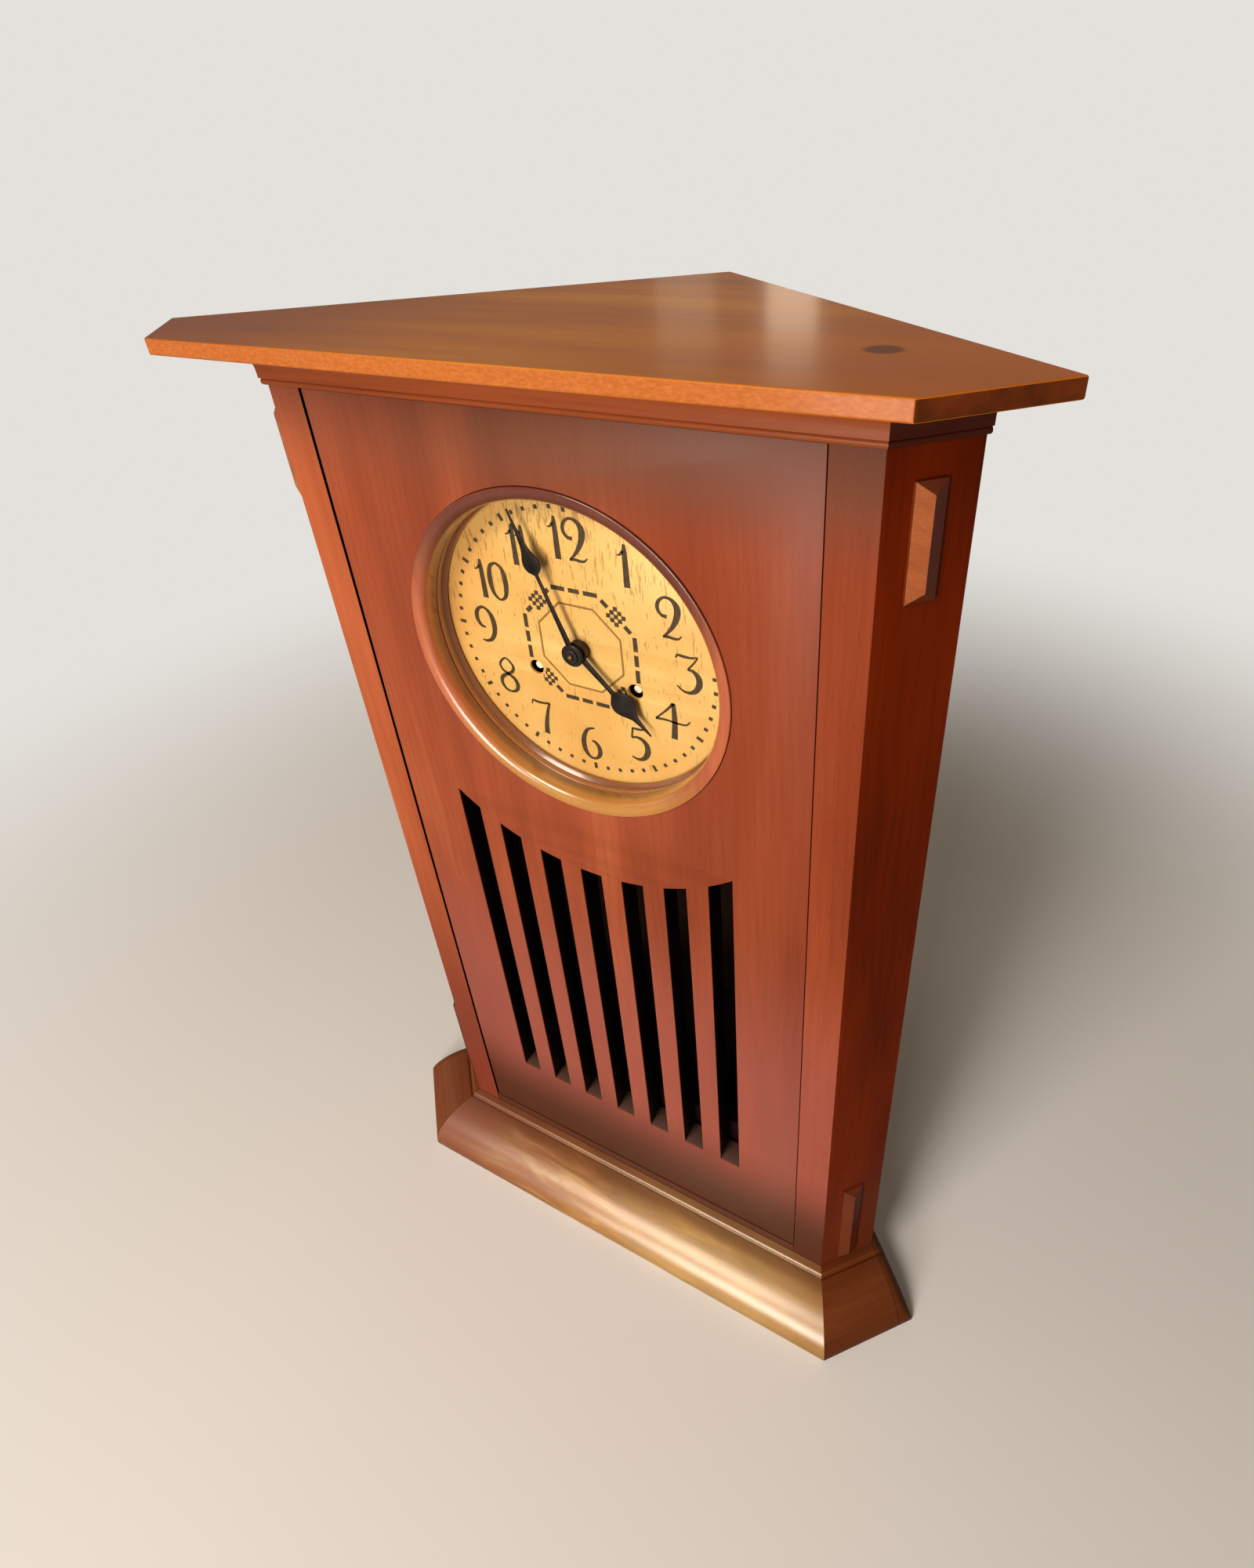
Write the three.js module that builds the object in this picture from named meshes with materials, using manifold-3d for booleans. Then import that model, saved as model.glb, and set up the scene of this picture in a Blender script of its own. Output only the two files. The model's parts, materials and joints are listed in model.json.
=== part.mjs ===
// Corner clock: a five-sided wooden case with a front door, a turned bezel ring, a key-wound
// movement with a going side and a strike side, and a short pendulum.
// Millimetres, +Z up, and the front faces -Y. While the pieces are made, y = 0 is the front
// plane of the case; the finished group is then moved so that its origin is on the shelf,
// under the middle of its outline.
import * as THREE from 'three';
import { mergeVertices } from 'three/addons/utils/BufferGeometryUtils.js';
import { ConvexGeometry } from 'three/addons/geometries/ConvexGeometry.js';
import Module from 'manifold-3d';

const wasm = await Module();
wasm.setup();

// General
const FIT = 0.3; // gap at slanted joints and round fixed pieces
const RUN = 0.2; // radial clearance of a turning piece
const OVERRUN = 2; // how far a cutting shape runs past the face it cuts
const WELD = 1e-4;
const SMALL_STEPS = 8;
const ROUND_STEPS = 16;
const LARGE_STEPS = 28;
const DIAGONAL = Math.SQRT1_2; // the walls of a room meet at right angles
const MITRE = Math.tan(Math.PI / 8);

// Case
const CASE_HALF_WIDTH = 151.5;
const CASE_HEIGHT = 635.8;
const SIDE_LENGTH = 40;
const STOCK = 14.5;
const BACK_THICKNESS = 9;
const POST_SIDE = 22;
const FLOOR_THICKNESS = 12;
const FLOOR_LIFT = 6;

// Top board
const TOP_THICKNESS = 7.4;
const TOP_OVERHANG = 40.6;
const TOP_REAR_OVERHANG = 1.5;
const TOP_EDGE_ROUND = 1;

// Crown moulding
const CROWN_HEIGHT = 20.5;
const CROWN_PROJECTION = 12;
const CROWN_BEAD = 1.7;
const CROWN_STEP = 1.4;
const CROWN_FILLET = 2.6;
const CROWN_LIP = 2.4;

// Base moulding
const BASE_HEIGHT = 27;
const BASE_PROJECTION = 40.8;
const BASE_FOOT = 3;
const BASE_LEDGE = 3.4;
const BASE_BEAD = 1.5;
const BASE_BACK_THICKNESS = 10;
const BASE_BACK_ROUND = THREE.MathUtils.degToRad(82);
const BASE_BACK_STEPS = 4;

// Rails and their through tenons
const RAIL_SETBACK = 16.7;
const TENON_START = 12;
const TENON_WIDTH = 13.5;
const TENON_PROUD = 1.5;
const TENON_RIDGE = 4.4;
const TENON_HIP = 5;
const TENON_ROOT = 3;
const UPPER_TENON_DROP = 33.8; // from the case's top down to the tenon
const UPPER_TENON_HEIGHT = 49;
const UPPER_TENON_BOTTOM = CASE_HEIGHT - UPPER_TENON_DROP - UPPER_TENON_HEIGHT;
const UPPER_RAIL_SHOULDER = 6;
const LOWER_TENON_BOTTOM = 34;
const LOWER_TENON_HEIGHT = 87;
const LOWER_RAIL_SHOULDER = 4;

// Door
const SILL_HEIGHT = 35.2;
const DOOR_THICKNESS = 14.5;
const DOOR_GAP_BELOW = 1.8;
const DOOR_GAP_ABOVE = 0.5;
const DOOR_GAP_LEFT = 1.7;
const DOOR_GAP_RIGHT = 0.5;
const DOOR_EDGE_RELIEF = 2.5;
const PIN_RADIUS = 1.4;
const PIN_FROM_EDGE = 9;
const PIN_FROM_FACE = 2.6;
const PIN_IN_DOOR = 16;
const PIN_IN_RAIL = 7;
const CATCH_RADIUS = 4;
const CATCH_PLATE_THICKNESS = 1.5;
const CATCH_MAGNET_LENGTH = 7;
const CATCH_GAP = 0.4;
const CATCH_FROM_EDGE = 12;
const CATCH_HEIGHT = 88;

// Slots in the door
const SLOT_COUNT = 7;
const SLOT_WIDTH = 14.2;
const SLOT_PITCH = 27.6;
const SLOT_BOTTOM = 104.8;
const SLOT_ARC_RADIUS = 140.9;
const SLOT_TOP_STEPS = 3;

// Dial, bezel ring and hands
const DIAL_DROP = 145.3; // from the case's top down to the dial's centre
const DIAL_HEIGHT = CASE_HEIGHT - DIAL_DROP;
const DIAL_DEPTH = 18.5;
const DIAL_THICKNESS = 1.2;
const DIAL_BORE = 5;
const DIAL_FEET_CIRCLE = 66;
const DIAL_FOOT_RADIUS = 2.2;
const WINDING_HOLE_RADIUS = 4.3;
const RING_RADIUS = 91.5;
const DIAL_INSET = 3.5; // the dial's rim lies this far inside the ring's
const DIAL_RADIUS = RING_RADIUS - DIAL_INSET;
const RING_PROUD = 1;
const RING_CREST_INSET = 2; // from the ring's rim in to the crest of its roll
const RING_CREST_RADIUS = RING_RADIUS - RING_CREST_INSET;
const RING_ROLL_WIDTH = 7.1;
const RING_THROAT_RADIUS = RING_RADIUS - RING_ROLL_WIDTH;
const RING_ROLL_DEPTH = 9.6;
const RING_GROOVE = 0.8;
const RING_BEAD = 0.9;
const RING_LIP = 1.6;
const RING_WIDTH = 8.1;
const RING_INNER_RADIUS = RING_RADIUS - RING_WIDTH;
const RING_TO_DIAL = 0.6;
const RING_RECESS = 2;
const RING_STEPS = 56;
const HAND_THICKNESS = 0.9;
const MINUTE_HAND_INSET = 4.4; // from the ring's lip in to the hand's tip
const MINUTE_HAND_LENGTH = RING_INNER_RADIUS - MINUTE_HAND_INSET;
const MINUTE_BULB_WIDTH = 10.4;
const MINUTE_HAND_HEIGHT = 6.6;
const MINUTE_HAND_ANGLE = THREE.MathUtils.degToRad(-20.4);
const HOUR_HAND_LENGTH = 57;
const HOUR_BULB_WIDTH = 15;
const HOUR_HAND_HEIGHT = 4.1;
const HOUR_HAND_ANGLE = THREE.MathUtils.degToRad(135.5);
// each row is a place along the hand and the half width there, as shares of the length and
// of half the bulb's width
const MINUTE_HAND_SHARES = [
  [0, 0.3], [0.5, 0.18], [0.56, 0.26], [0.6, 0.78], [0.64, 1], [0.68, 0.84], [0.74, 0.36],
  [0.8, 0.2], [1, 0.05],
];
const HOUR_HAND_SHARES = [
  [0, 0.24], [0.42, 0.16], [0.49, 0.36], [0.56, 0.86], [0.63, 1], [0.7, 0.74], [0.78, 0.32],
  [0.86, 0.16], [1, 0.05],
];
const HAND_CURVE_STEPS = 16;
const NUT_RADIUS = 6.2;
const NUT_STEP_RADIUS = 3.9;
const NUT_THICKNESS = 1.3;
const NUT_STEP = 0.7;
const ARBOR_TIP = 1.2;
const HOUR_COLLET_RADIUS = 5.8;
const HOUR_COLLET_LENGTH = 3.4;

// Movement
const SEAT_THICKNESS = 12;
const SEAT_FRONT = 24;
const SEAT_MARGIN = 2.4; // how far the seat runs on behind the back plate
const PLATE_DEPTH = 32;
const PLATE_THICKNESS = 1.8;
const PLATE_GAP = 40;
const PLATES_BACK = PLATE_DEPTH + PLATE_THICKNESS + PLATE_GAP + PLATE_THICKNESS;
const SEAT_BACK = PLATES_BACK + SEAT_MARGIN;
const PLATE_HALF_WIDTH = 60;
const PLATE_ABOVE = 52;
const PLATE_BELOW = 60;
const PLATE_CORNER = 6;
const PILLAR_RADIUS = 4;
const PILLAR_INSET = 7;
const PIVOT_RADIUS = 1;
const SHAFT_RADIUS = 1;
const WHEEL_THICKNESS = 1.4;
const PINION_LENGTH = 2.8;
const ADDENDUM_SHARE = 0.85;
const DEDENDUM_SHARE = 1.15;
const RIM_SHARE = 0.8;
const HUB_SHARE = 0.24;
const SPOKE_SHARE = 0.14;
const HALF_SHARE = 0.5;
const PIVOT_SHARE = 0.8;
const BOSS_SHARE = 0.6;
const ARBOR_END_SHARE = 0.7;
const CENTRE_SHAFT_RADIUS = 2;
const HAMMER_SHAFT_RADIUS = 1.5;

// Barrels and winding
const WINDING_SPREAD = 30.25;
const WINDING_DROP = 18.5;
const WINDING_ARBOR_RADIUS = 2.9;
const WINDING_SQUARE_RADIUS = 2.3;
const WINDING_SETBACK = 2.3;
const WINDING_PIVOT_RADIUS = 1.5;
const BARREL_RADIUS = 23;
const BARREL_LENGTH = 22;
const BARREL_RIM = 1;
const RATCHET_RADIUS = 8.2;
const RATCHET_ROOT = 6.6;
const RATCHET_TEETH = 12;
const RATCHET_FACE_SHARE = 0.08;
const CLICK_ANGLE = THREE.MathUtils.degToRad(75);
const CLICK_REACH = 7.2;
const CLICK_GAP = THREE.MathUtils.degToRad(4);
const CLICK_PIVOT_OUT = 11;
const CLICK_PIVOT_RISE = 10;
const CLICK_EYE = 2.6;
const CLICK_TIP = 0.25;
const STUD_RADIUS = 1;

// Wheels: teeth, leaves and modules
const GREAT_MODULE = 0.9;
const GREAT_TEETH = 60;
const SECOND_LEAVES = 10;
const SECOND_MODULE = 0.8;
const SECOND_TEETH = 36;
const CENTRE_LEAVES = 12;
const CENTRE_MODULE = 0.42;
const CENTRE_TEETH = 75;
const THIRD_LEAVES = 6;
const THIRD_MODULE = 0.48;
const THIRD_TEETH = 60;
const ESCAPE_LEAVES = 6;
const ESCAPE_RADIUS = 11;
const ESCAPE_ROOT = 9;
const ESCAPE_TEETH = 32;
const ESCAPE_LEAN_SHARE = 0.8;
const FAST_SHAFT_RADIUS = 0.6;
const ESCAPE_RISE = 26;
const PIN_WHEEL_MODULE = 0.5;
const PIN_WHEEL_TEETH = 48;
const PIN_WHEEL_LEAVES = 8;
const FLY_LEAVES = 8;
const LIFTING_PINS = 6;
const LIFTING_SHARE = 1 / 3;
const LIFTING_PIN_RADIUS = 0.6;
const LIFTING_PIN_LENGTH = 3;
const LIFTING_PIN_CIRCLE = 7.6;
const MOTION_MODULE = 0.72;
const CANNON_LEAVES = 10;
const MINUTE_WHEEL_TEETH = 30;
const MINUTE_WHEEL_LEAVES = 8;
const HOUR_WHEEL_TEETH = 32;
const CANNON_BORE = 1.8;
const CANNON_TUBE = 2.8;
const PIPE_BORE = 3.1;
const PIPE_TUBE = 4.2;
const STRIKE_SECOND_ANGLE = THREE.MathUtils.degToRad(100);
const PIN_WHEEL_ANGLE = THREE.MathUtils.degToRad(50);
const FLY_ANGLE = THREE.MathUtils.degToRad(131);

// Layers between the plates, measured back from the front plate's rear face
const BARREL_LAYER = 2.5;
const GREAT_LAYER = 24.7;
const SECOND_LAYER = 30.4;
const CENTRE_LAYER = 35;
const THIRD_LAYER = 6.2;
const ESCAPE_LAYER = 26.4;
const FLY_LAYER = 12;
const FLY_VANE_LENGTH = 14;
const FLY_VANE_WIDTH = 15;
const FLY_VANE_THICKNESS = 0.8;

// Anchor, crutch and pendulum
const ANCHOR_RISE = 41.5;
const ANCHOR_THICKNESS = 3;
const PALLET_GAP = 0.9;
const PALLET_ANGLE = THREE.MathUtils.degToRad(38);
// the anchor's corners, as shares of the fall from its arbor to the escape wheel's, and the
// inner corner of a pallet, as shares of its tip's place
const ANCHOR_ARM_SHARE = 0.42;
const ANCHOR_WAIST_SHARE = 0.1;
const ANCHOR_TOP_SHARE = 0.18;
const ANCHOR_ARCH_SHARES = [0.3, 0.16];
const PALLET_SHARES = [0.92, 0.78];
const PENDULUM_BEHIND = 8.4; // from the back plate to the middle of the rod
const PENDULUM_DEPTH = PLATES_BACK + PENDULUM_BEHIND;
const PENDULUM_LENGTH = 200;
const CRUTCH_LENGTH = 33;
const CRUTCH_WIDTH = 3;
const CRUTCH_THICKNESS = 1.5;
const FORK_TINE = 1.2;
const COCK_THICKNESS = 1.6;
const COCK_HALF_WIDTH = 14;
const COCK_ARM_HALF_WIDTH = 5;
const COCK_ARM_THICKNESS = 5;
const COCK_ARM_RISE = 5;
const SPRING_WIDTH = 6;
const SPRING_THICKNESS = 0.4;
const SPRING_DROP = 4.5;
const ROD_WIDTH = 6;
const ROD_THICKNESS = 2;
const ROD_TAIL = 10;
const BOB_RADIUS = 34;
const BOB_THICKNESS = 12;
const BOB_EDGE = 2;
const RATING_NUT_RADIUS = 6;
const RATING_NUT_THICKNESS = 4;

// Strike
const HAMMER_ARBOR_LEFT = 52;
const HAMMER_ARBOR_RISE = 22;
const HAMMER_ARM_DROP = 36;
const HAMMER_ARM_REACH = 31;
const HAMMER_ARM_WIDTH = 2.2;
const HAMMER_HEAD_RADIUS = 5;
const HAMMER_HEAD_LENGTH = 15;
const HAMMER_TAIL_REACH = 18.8;
const HAMMER_TAIL_RISE = 3.5;
const HAMMER_LAYER = 18;
const GONG_GAP = 1;
const GONG_ROD_RADIUS = 2;
const GONG_ROD_LENGTH = 150;
const GONG_ROD_SPACING = 9;
const GONG_BLOCK_WIDTH = 22;
const GONG_BLOCK_DEPTH = 26;
const GONG_BLOCK_HEIGHT = 30;
const GONG_SOCKET = 14;

const clock = new THREE.Group();

// Materials
const finish = (color, roughness, metalness) => ({ color, roughness, metalness });
const CHERRY = finish(0x8a4526, 0.45, 0);
const CHERRY_TOP = finish(0xb0682f, 0.3, 0);
const TURNED = finish(0x9c5a2c, 0.3, 0);
const DIAL_GOLD = finish(0xd9b36a, 0.5, 0.6);
const BLUED = finish(0x2b2422, 0.45, 0.7);
const BRASS = finish(0xc79a3e, 0.35, 0.9);
const STEEL = finish(0x9a9a9c, 0.35, 0.9);
const IRON = finish(0x3b3a39, 0.7, 0.5);

// Adds one closed body to the clock as a named mesh.
function add(name, body, look) {
  const source = body.getMesh();
  const geometry = new THREE.BufferGeometry();
  const corners = new Float32Array(source.vertProperties);
  geometry.setAttribute('position', new THREE.BufferAttribute(corners, 3));
  geometry.setIndex(new THREE.BufferAttribute(new Uint32Array(source.triVerts), 1));
  geometry.computeVertexNormals();
  const mesh = new THREE.Mesh(geometry, new THREE.MeshStandardMaterial(look));
  mesh.name = name;
  clock.add(mesh);
}

// Turns a closed geometry into a body that can be joined and cut.
function bodyOf(geometry) {
  for (const attribute of Object.keys(geometry.attributes)) {
    if (attribute !== 'position') geometry.deleteAttribute(attribute);
  }
  const merged = mergeVertices(geometry, WELD);
  const place = merged.attributes.position;
  const source = merged.index.array;
  const corner = [new THREE.Vector3(), new THREE.Vector3(), new THREE.Vector3()];
  let triangles = [];
  let volume = 0;
  for (let i = 0; i < source.length; i += 3) {
    const [a, b, c] = [source[i], source[i + 1], source[i + 2]];
    if (a === b || b === c || c === a) continue;
    triangles.push(a, b, c);
    corner.forEach((v, k) => v.fromBufferAttribute(place, source[i + k]));
    volume += corner[0].dot(corner[1].cross(corner[2]));
  }
  if (volume < 0) triangles = triangles.reverse();
  return new wasm.Manifold(new wasm.Mesh({
    numProp: 3,
    vertProperties: new Float32Array(place.array),
    triVerts: new Uint32Array(triangles),
  }));
}

const joined = (...bodies) => bodies.reduce((whole, body) => whole.add(body));
const cut = (body, ...tools) => tools.reduce((rest, tool) => rest.subtract(tool), body);

// Outlines
const mirrored = (points) => points.map(([x, y]) => [-x, y]).reverse();
const bothSides = (right) => [...right, ...mirrored(right)];
const moved = (points, x, y) => points.map(([px, py]) => [px + x, py + y]);
const polar = (radius, angle) => [radius * Math.cos(angle), radius * Math.sin(angle)];
const oneSide = (points, side) => (side > 0 ? points : mirrored(points));

function circle(radius, segments, [x, y] = [0, 0]) {
  const steps = Array.from({ length: segments }, (_, i) => (2 * Math.PI * i) / segments);
  return moved(steps.map((angle) => polar(radius, angle)), x, y);
}

function rectangle(left, right, low, high) {
  return [[left, low], [right, low], [right, high], [left, high]];
}

// Clockwise turn of an outline that is seen from the front.
function clockwise(points, angle) {
  const [c, s] = [Math.cos(angle), Math.sin(angle)];
  return points.map(([x, z]) => [x * c + z * s, z * c - x * s]);
}

function extruded(points, depth, steps = 1) {
  const shape = new THREE.Shape(points.map(([x, y]) => new THREE.Vector2(x, y)));
  return new THREE.ExtrudeGeometry(shape, { depth, steps, bevelEnabled: false });
}

// A plan outline raised from z = low to z = high.
function upright(points, low, high) {
  return bodyOf(extruded(points, high - low).translate(0, 0, low));
}

// A front outline, in x and z, that reaches from y = front to y = back, with holes through it.
function plate(points, front, back, holes = []) {
  const body = bodyOf(extruded(points, back - front).rotateX(Math.PI / 2).translate(0, back, 0));
  return cut(body, ...holes.map((hole) => plate(hole, front - OVERRUN, back + OVERRUN)));
}

// A profile of [radius, y] points turned about an axis that runs front to back.
function turned(profile, [x, z] = [0, 0], segments = ROUND_STEPS) {
  const points = profile.map(([radius, y]) => new THREE.Vector2(radius, y));
  return bodyOf(new THREE.LatheGeometry(points, segments).translate(x, 0, z));
}

function rod(radius, front, back, place, segments = ROUND_STEPS) {
  return turned([[0, front], [radius, front], [radius, back], [0, back]], place, segments);
}

// An upright round bar.
function post(radius, low, high, x, y, segments = SMALL_STEPS) {
  return upright(circle(radius, segments, [x, y]), low, high);
}

// Plan geometry. A place on a side board is given by how far it lies along the side from the
// front corner and how far it lies out from the side's outer face.
function sidePlace(along, out) {
  return [CASE_HALF_WIDTH + (along + out) * DIAGONAL, (along - out) * DIAGONAL];
}

const APEX_OUT = -(CASE_HALF_WIDTH / DIAGONAL + SIDE_LENGTH);
const INNER_CORNER_X = CASE_HALF_WIDTH - STOCK / DIAGONAL;

// The outline of a board that fills the case from y = front to y = back.
function shelfOutline(front, back) {
  const out = -STOCK - FIT;
  const rear = SIDE_LENGTH - BACK_THICKNESS - FIT;
  const right = [
    sidePlace(front / DIAGONAL + out, out),
    sidePlace(rear, out),
    sidePlace(rear, rear - back / DIAGONAL),
  ];
  return bothSides(right);
}

// The outline of a board between the two side boards, whose ends lie on their inner faces.
function railOutline(front, back) {
  const out = -STOCK - FIT;
  return bothSides([sidePlace(front / DIAGONAL + out, out), sidePlace(back / DIAGONAL + out, out)]);
}

// A moulding: a profile of [out, up] points that runs from a start place in a plan direction.
// Each end can be mitred: it then runs on by that much for each millimetre outward.
function moulding(profile, start, direction, outward, length, mitreStart, mitreEnd) {
  const run = length - FIT;
  const geometry = extruded(profile, run);
  const place = geometry.attributes.position;
  for (let i = 0; i < place.count; i++) {
    const mitre = place.getZ(i) > run / 2 ? mitreEnd : -mitreStart;
    place.setZ(i, place.getZ(i) + FIT / 2 + place.getX(i) * mitre);
  }
  const turn = new THREE.Matrix4().makeBasis(
    new THREE.Vector3(...outward, 0), new THREE.Vector3(0, 0, 1), new THREE.Vector3(...direction, 0));
  return bodyOf(geometry.applyMatrix4(turn).translate(...start, 0));
}

// The three mitred lengths of a moulding along the front and both sides.
function wrap(name, profile, height) {
  const lifted = moved(profile, 0, height);
  const corner = [-CASE_HALF_WIDTH, 0];
  const front = moulding(lifted, corner, [1, 0], [0, -1], 2 * CASE_HALF_WIDTH, MITRE, MITRE);
  add(`${name}_front`, front, CHERRY);
  for (const [side, sign] of [['left', -1], ['right', 1]]) {
    const direction = [sign * DIAGONAL, DIAGONAL];
    const outward = [sign * DIAGONAL, -DIAGONAL];
    const start = [sign * CASE_HALF_WIDTH, 0];
    const length = moulding(lifted, start, direction, outward, SIDE_LENGTH, MITRE, 0);
    add(`${name}_${side}`, length, CHERRY);
  }
}

// Part of an ellipse, as points from one angle to another.
function arc([x, y], radiusX, radiusY, from, to, steps) {
  return Array.from({ length: steps + 1 }, (_, i) => {
    const angle = from + ((to - from) * i) / steps;
    return [x + radiusX * Math.cos(angle), y + radiusY * Math.sin(angle)];
  });
}

// Case boards
function tenonBody(bottom, height) {
  const middle = TENON_START + TENON_WIDTH / 2;
  const corners = [];
  for (const out of [-STOCK - FIT - TENON_ROOT, TENON_PROUD]) {
    for (const along of [TENON_START, TENON_START + TENON_WIDTH]) {
      for (const z of [bottom, bottom + height]) {
        corners.push([...sidePlace(along, out), z]);
      }
    }
  }
  for (const z of [bottom + TENON_HIP, bottom + height - TENON_HIP]) {
    corners.push([...sidePlace(middle, TENON_RIDGE), z]);
  }
  const left = corners.map(([x, y, z]) => [-x, y, z]);
  return [corners, left].map((points) => bodyOf(
    new ConvexGeometry(points.map((place) => new THREE.Vector3(...place)))));
}

function mortise(bottom, height, side) {
  const [near, far] = [TENON_START - FIT, TENON_START + TENON_WIDTH + FIT];
  const [inside, outside] = [-STOCK - OVERRUN, OVERRUN];
  const outline = [
    sidePlace(near, inside),
    sidePlace(near, outside),
    sidePlace(far, outside),
    sidePlace(far, inside),
  ];
  return upright(oneSide(outline, side), bottom - FIT, bottom + height + FIT);
}

function makeCarcass() {
  const boardOutline = [
    sidePlace(0, 0),
    sidePlace(SIDE_LENGTH, 0),
    sidePlace(SIDE_LENGTH, -STOCK),
    sidePlace(-STOCK, -STOCK),
  ];
  const postStart = APEX_OUT + POST_SIDE + FIT;
  const panelOutline = [
    sidePlace(SIDE_LENGTH, -STOCK - FIT),
    sidePlace(SIDE_LENGTH, postStart),
    sidePlace(SIDE_LENGTH - BACK_THICKNESS, postStart),
    sidePlace(SIDE_LENGTH - BACK_THICKNESS, -STOCK - FIT),
  ];
  for (const [side, sign] of [['left', -1], ['right', 1]]) {
    const board = cut(
      upright(oneSide(boardOutline, sign), 0, CASE_HEIGHT),
      mortise(UPPER_TENON_BOTTOM, UPPER_TENON_HEIGHT, sign),
      mortise(LOWER_TENON_BOTTOM, LOWER_TENON_HEIGHT, sign),
    );
    add(`side_board_${side}`, board, CHERRY);
    add(`back_panel_${side}`, upright(oneSide(panelOutline, sign), 0, CASE_HEIGHT), CHERRY);
  }
  const postOutline = [
    sidePlace(SIDE_LENGTH, APEX_OUT),
    sidePlace(SIDE_LENGTH - POST_SIDE, APEX_OUT),
    sidePlace(SIDE_LENGTH - POST_SIDE, APEX_OUT + POST_SIDE),
    sidePlace(SIDE_LENGTH, APEX_OUT + POST_SIDE),
  ];
  add('rear_post', upright(postOutline, 0, CASE_HEIGHT), CHERRY);
  const postFront = sidePlace(SIDE_LENGTH - POST_SIDE, APEX_OUT + POST_SIDE)[1];
  const floor = upright(shelfOutline(STOCK, postFront - FIT), FLOOR_LIFT, FLOOR_LIFT + FLOOR_THICKNESS);
  add('floor_board', floor, CHERRY);
}

function makeRails() {
  const outline = railOutline(RAIL_SETBACK, RAIL_SETBACK + STOCK);
  const recess = rod(
    RING_RADIUS + RING_RECESS,
    RAIL_SETBACK - OVERRUN,
    DIAL_DEPTH + DIAL_THICKNESS + FIT,
    [0, DIAL_HEIGHT],
    RING_STEPS,
  );
  const upper = upright(outline, UPPER_TENON_BOTTOM - UPPER_RAIL_SHOULDER, CASE_HEIGHT);
  const upperTenons = tenonBody(UPPER_TENON_BOTTOM, UPPER_TENON_HEIGHT);
  add('upper_rail', joined(cut(upper, recess), ...upperTenons), CHERRY);

  const lowerTop = LOWER_TENON_BOTTOM + LOWER_TENON_HEIGHT + LOWER_RAIL_SHOULDER;
  const magnetZ = CATCH_HEIGHT;
  const socket = rod(CATCH_RADIUS + RUN, 0, magnetBack() + FIT, [catchX(), magnetZ]);
  const lower = cut(upright(outline, FLOOR_LIFT + FLOOR_THICKNESS, lowerTop), socket);
  const lowerTenons = tenonBody(LOWER_TENON_BOTTOM, LOWER_TENON_HEIGHT);
  add('lower_rail', joined(lower, ...lowerTenons), CHERRY);
  add('catch_magnet', rod(CATCH_RADIUS, magnetFront(), magnetBack(), [catchX(), magnetZ]), STEEL);

  const frameOutline = railOutline(0, STOCK);
  const pinHole = (low, high) => post(PIN_RADIUS + RUN, low, high, pinX(), PIN_FROM_FACE);
  const crownBottom = CASE_HEIGHT - CROWN_HEIGHT;
  const upperHole = pinHole(crownBottom - OVERRUN, crownBottom + PIN_IN_RAIL + FIT);
  add('header_rail', cut(upright(frameOutline, crownBottom, CASE_HEIGHT), upperHole), CHERRY);
  const lowerHole = pinHole(SILL_HEIGHT - PIN_IN_RAIL - FIT, SILL_HEIGHT + OVERRUN);
  add('sill_rail', cut(upright(frameOutline, 0, SILL_HEIGHT), lowerHole), CHERRY);
}

// Door places
const doorLeft = () => -INNER_CORNER_X + DOOR_GAP_LEFT;
const doorRight = () => INNER_CORNER_X - DOOR_GAP_RIGHT;
const doorBottom = () => SILL_HEIGHT + DOOR_GAP_BELOW;
const doorTop = () => CASE_HEIGHT - CROWN_HEIGHT - DOOR_GAP_ABOVE;
const pinX = () => doorRight() - PIN_FROM_EDGE;
const catchX = () => doorLeft() + CATCH_FROM_EDGE;
const magnetFront = () => DOOR_THICKNESS + CATCH_GAP;
const magnetBack = () => magnetFront() + CATCH_MAGNET_LENGTH;

function slotOutline(index) {
  const centre = (index - (SLOT_COUNT - 1) / 2) * SLOT_PITCH;
  const [left, right] = [centre - SLOT_WIDTH / 2, centre + SLOT_WIDTH / 2];
  const top = Array.from({ length: SLOT_TOP_STEPS + 1 }, (_, i) => {
    const x = right + ((left - right) * i) / SLOT_TOP_STEPS;
    return [x, DIAL_HEIGHT - Math.sqrt(SLOT_ARC_RADIUS ** 2 - x ** 2)];
  });
  return [[left, SLOT_BOTTOM], [right, SLOT_BOTTOM], ...top];
}

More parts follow.
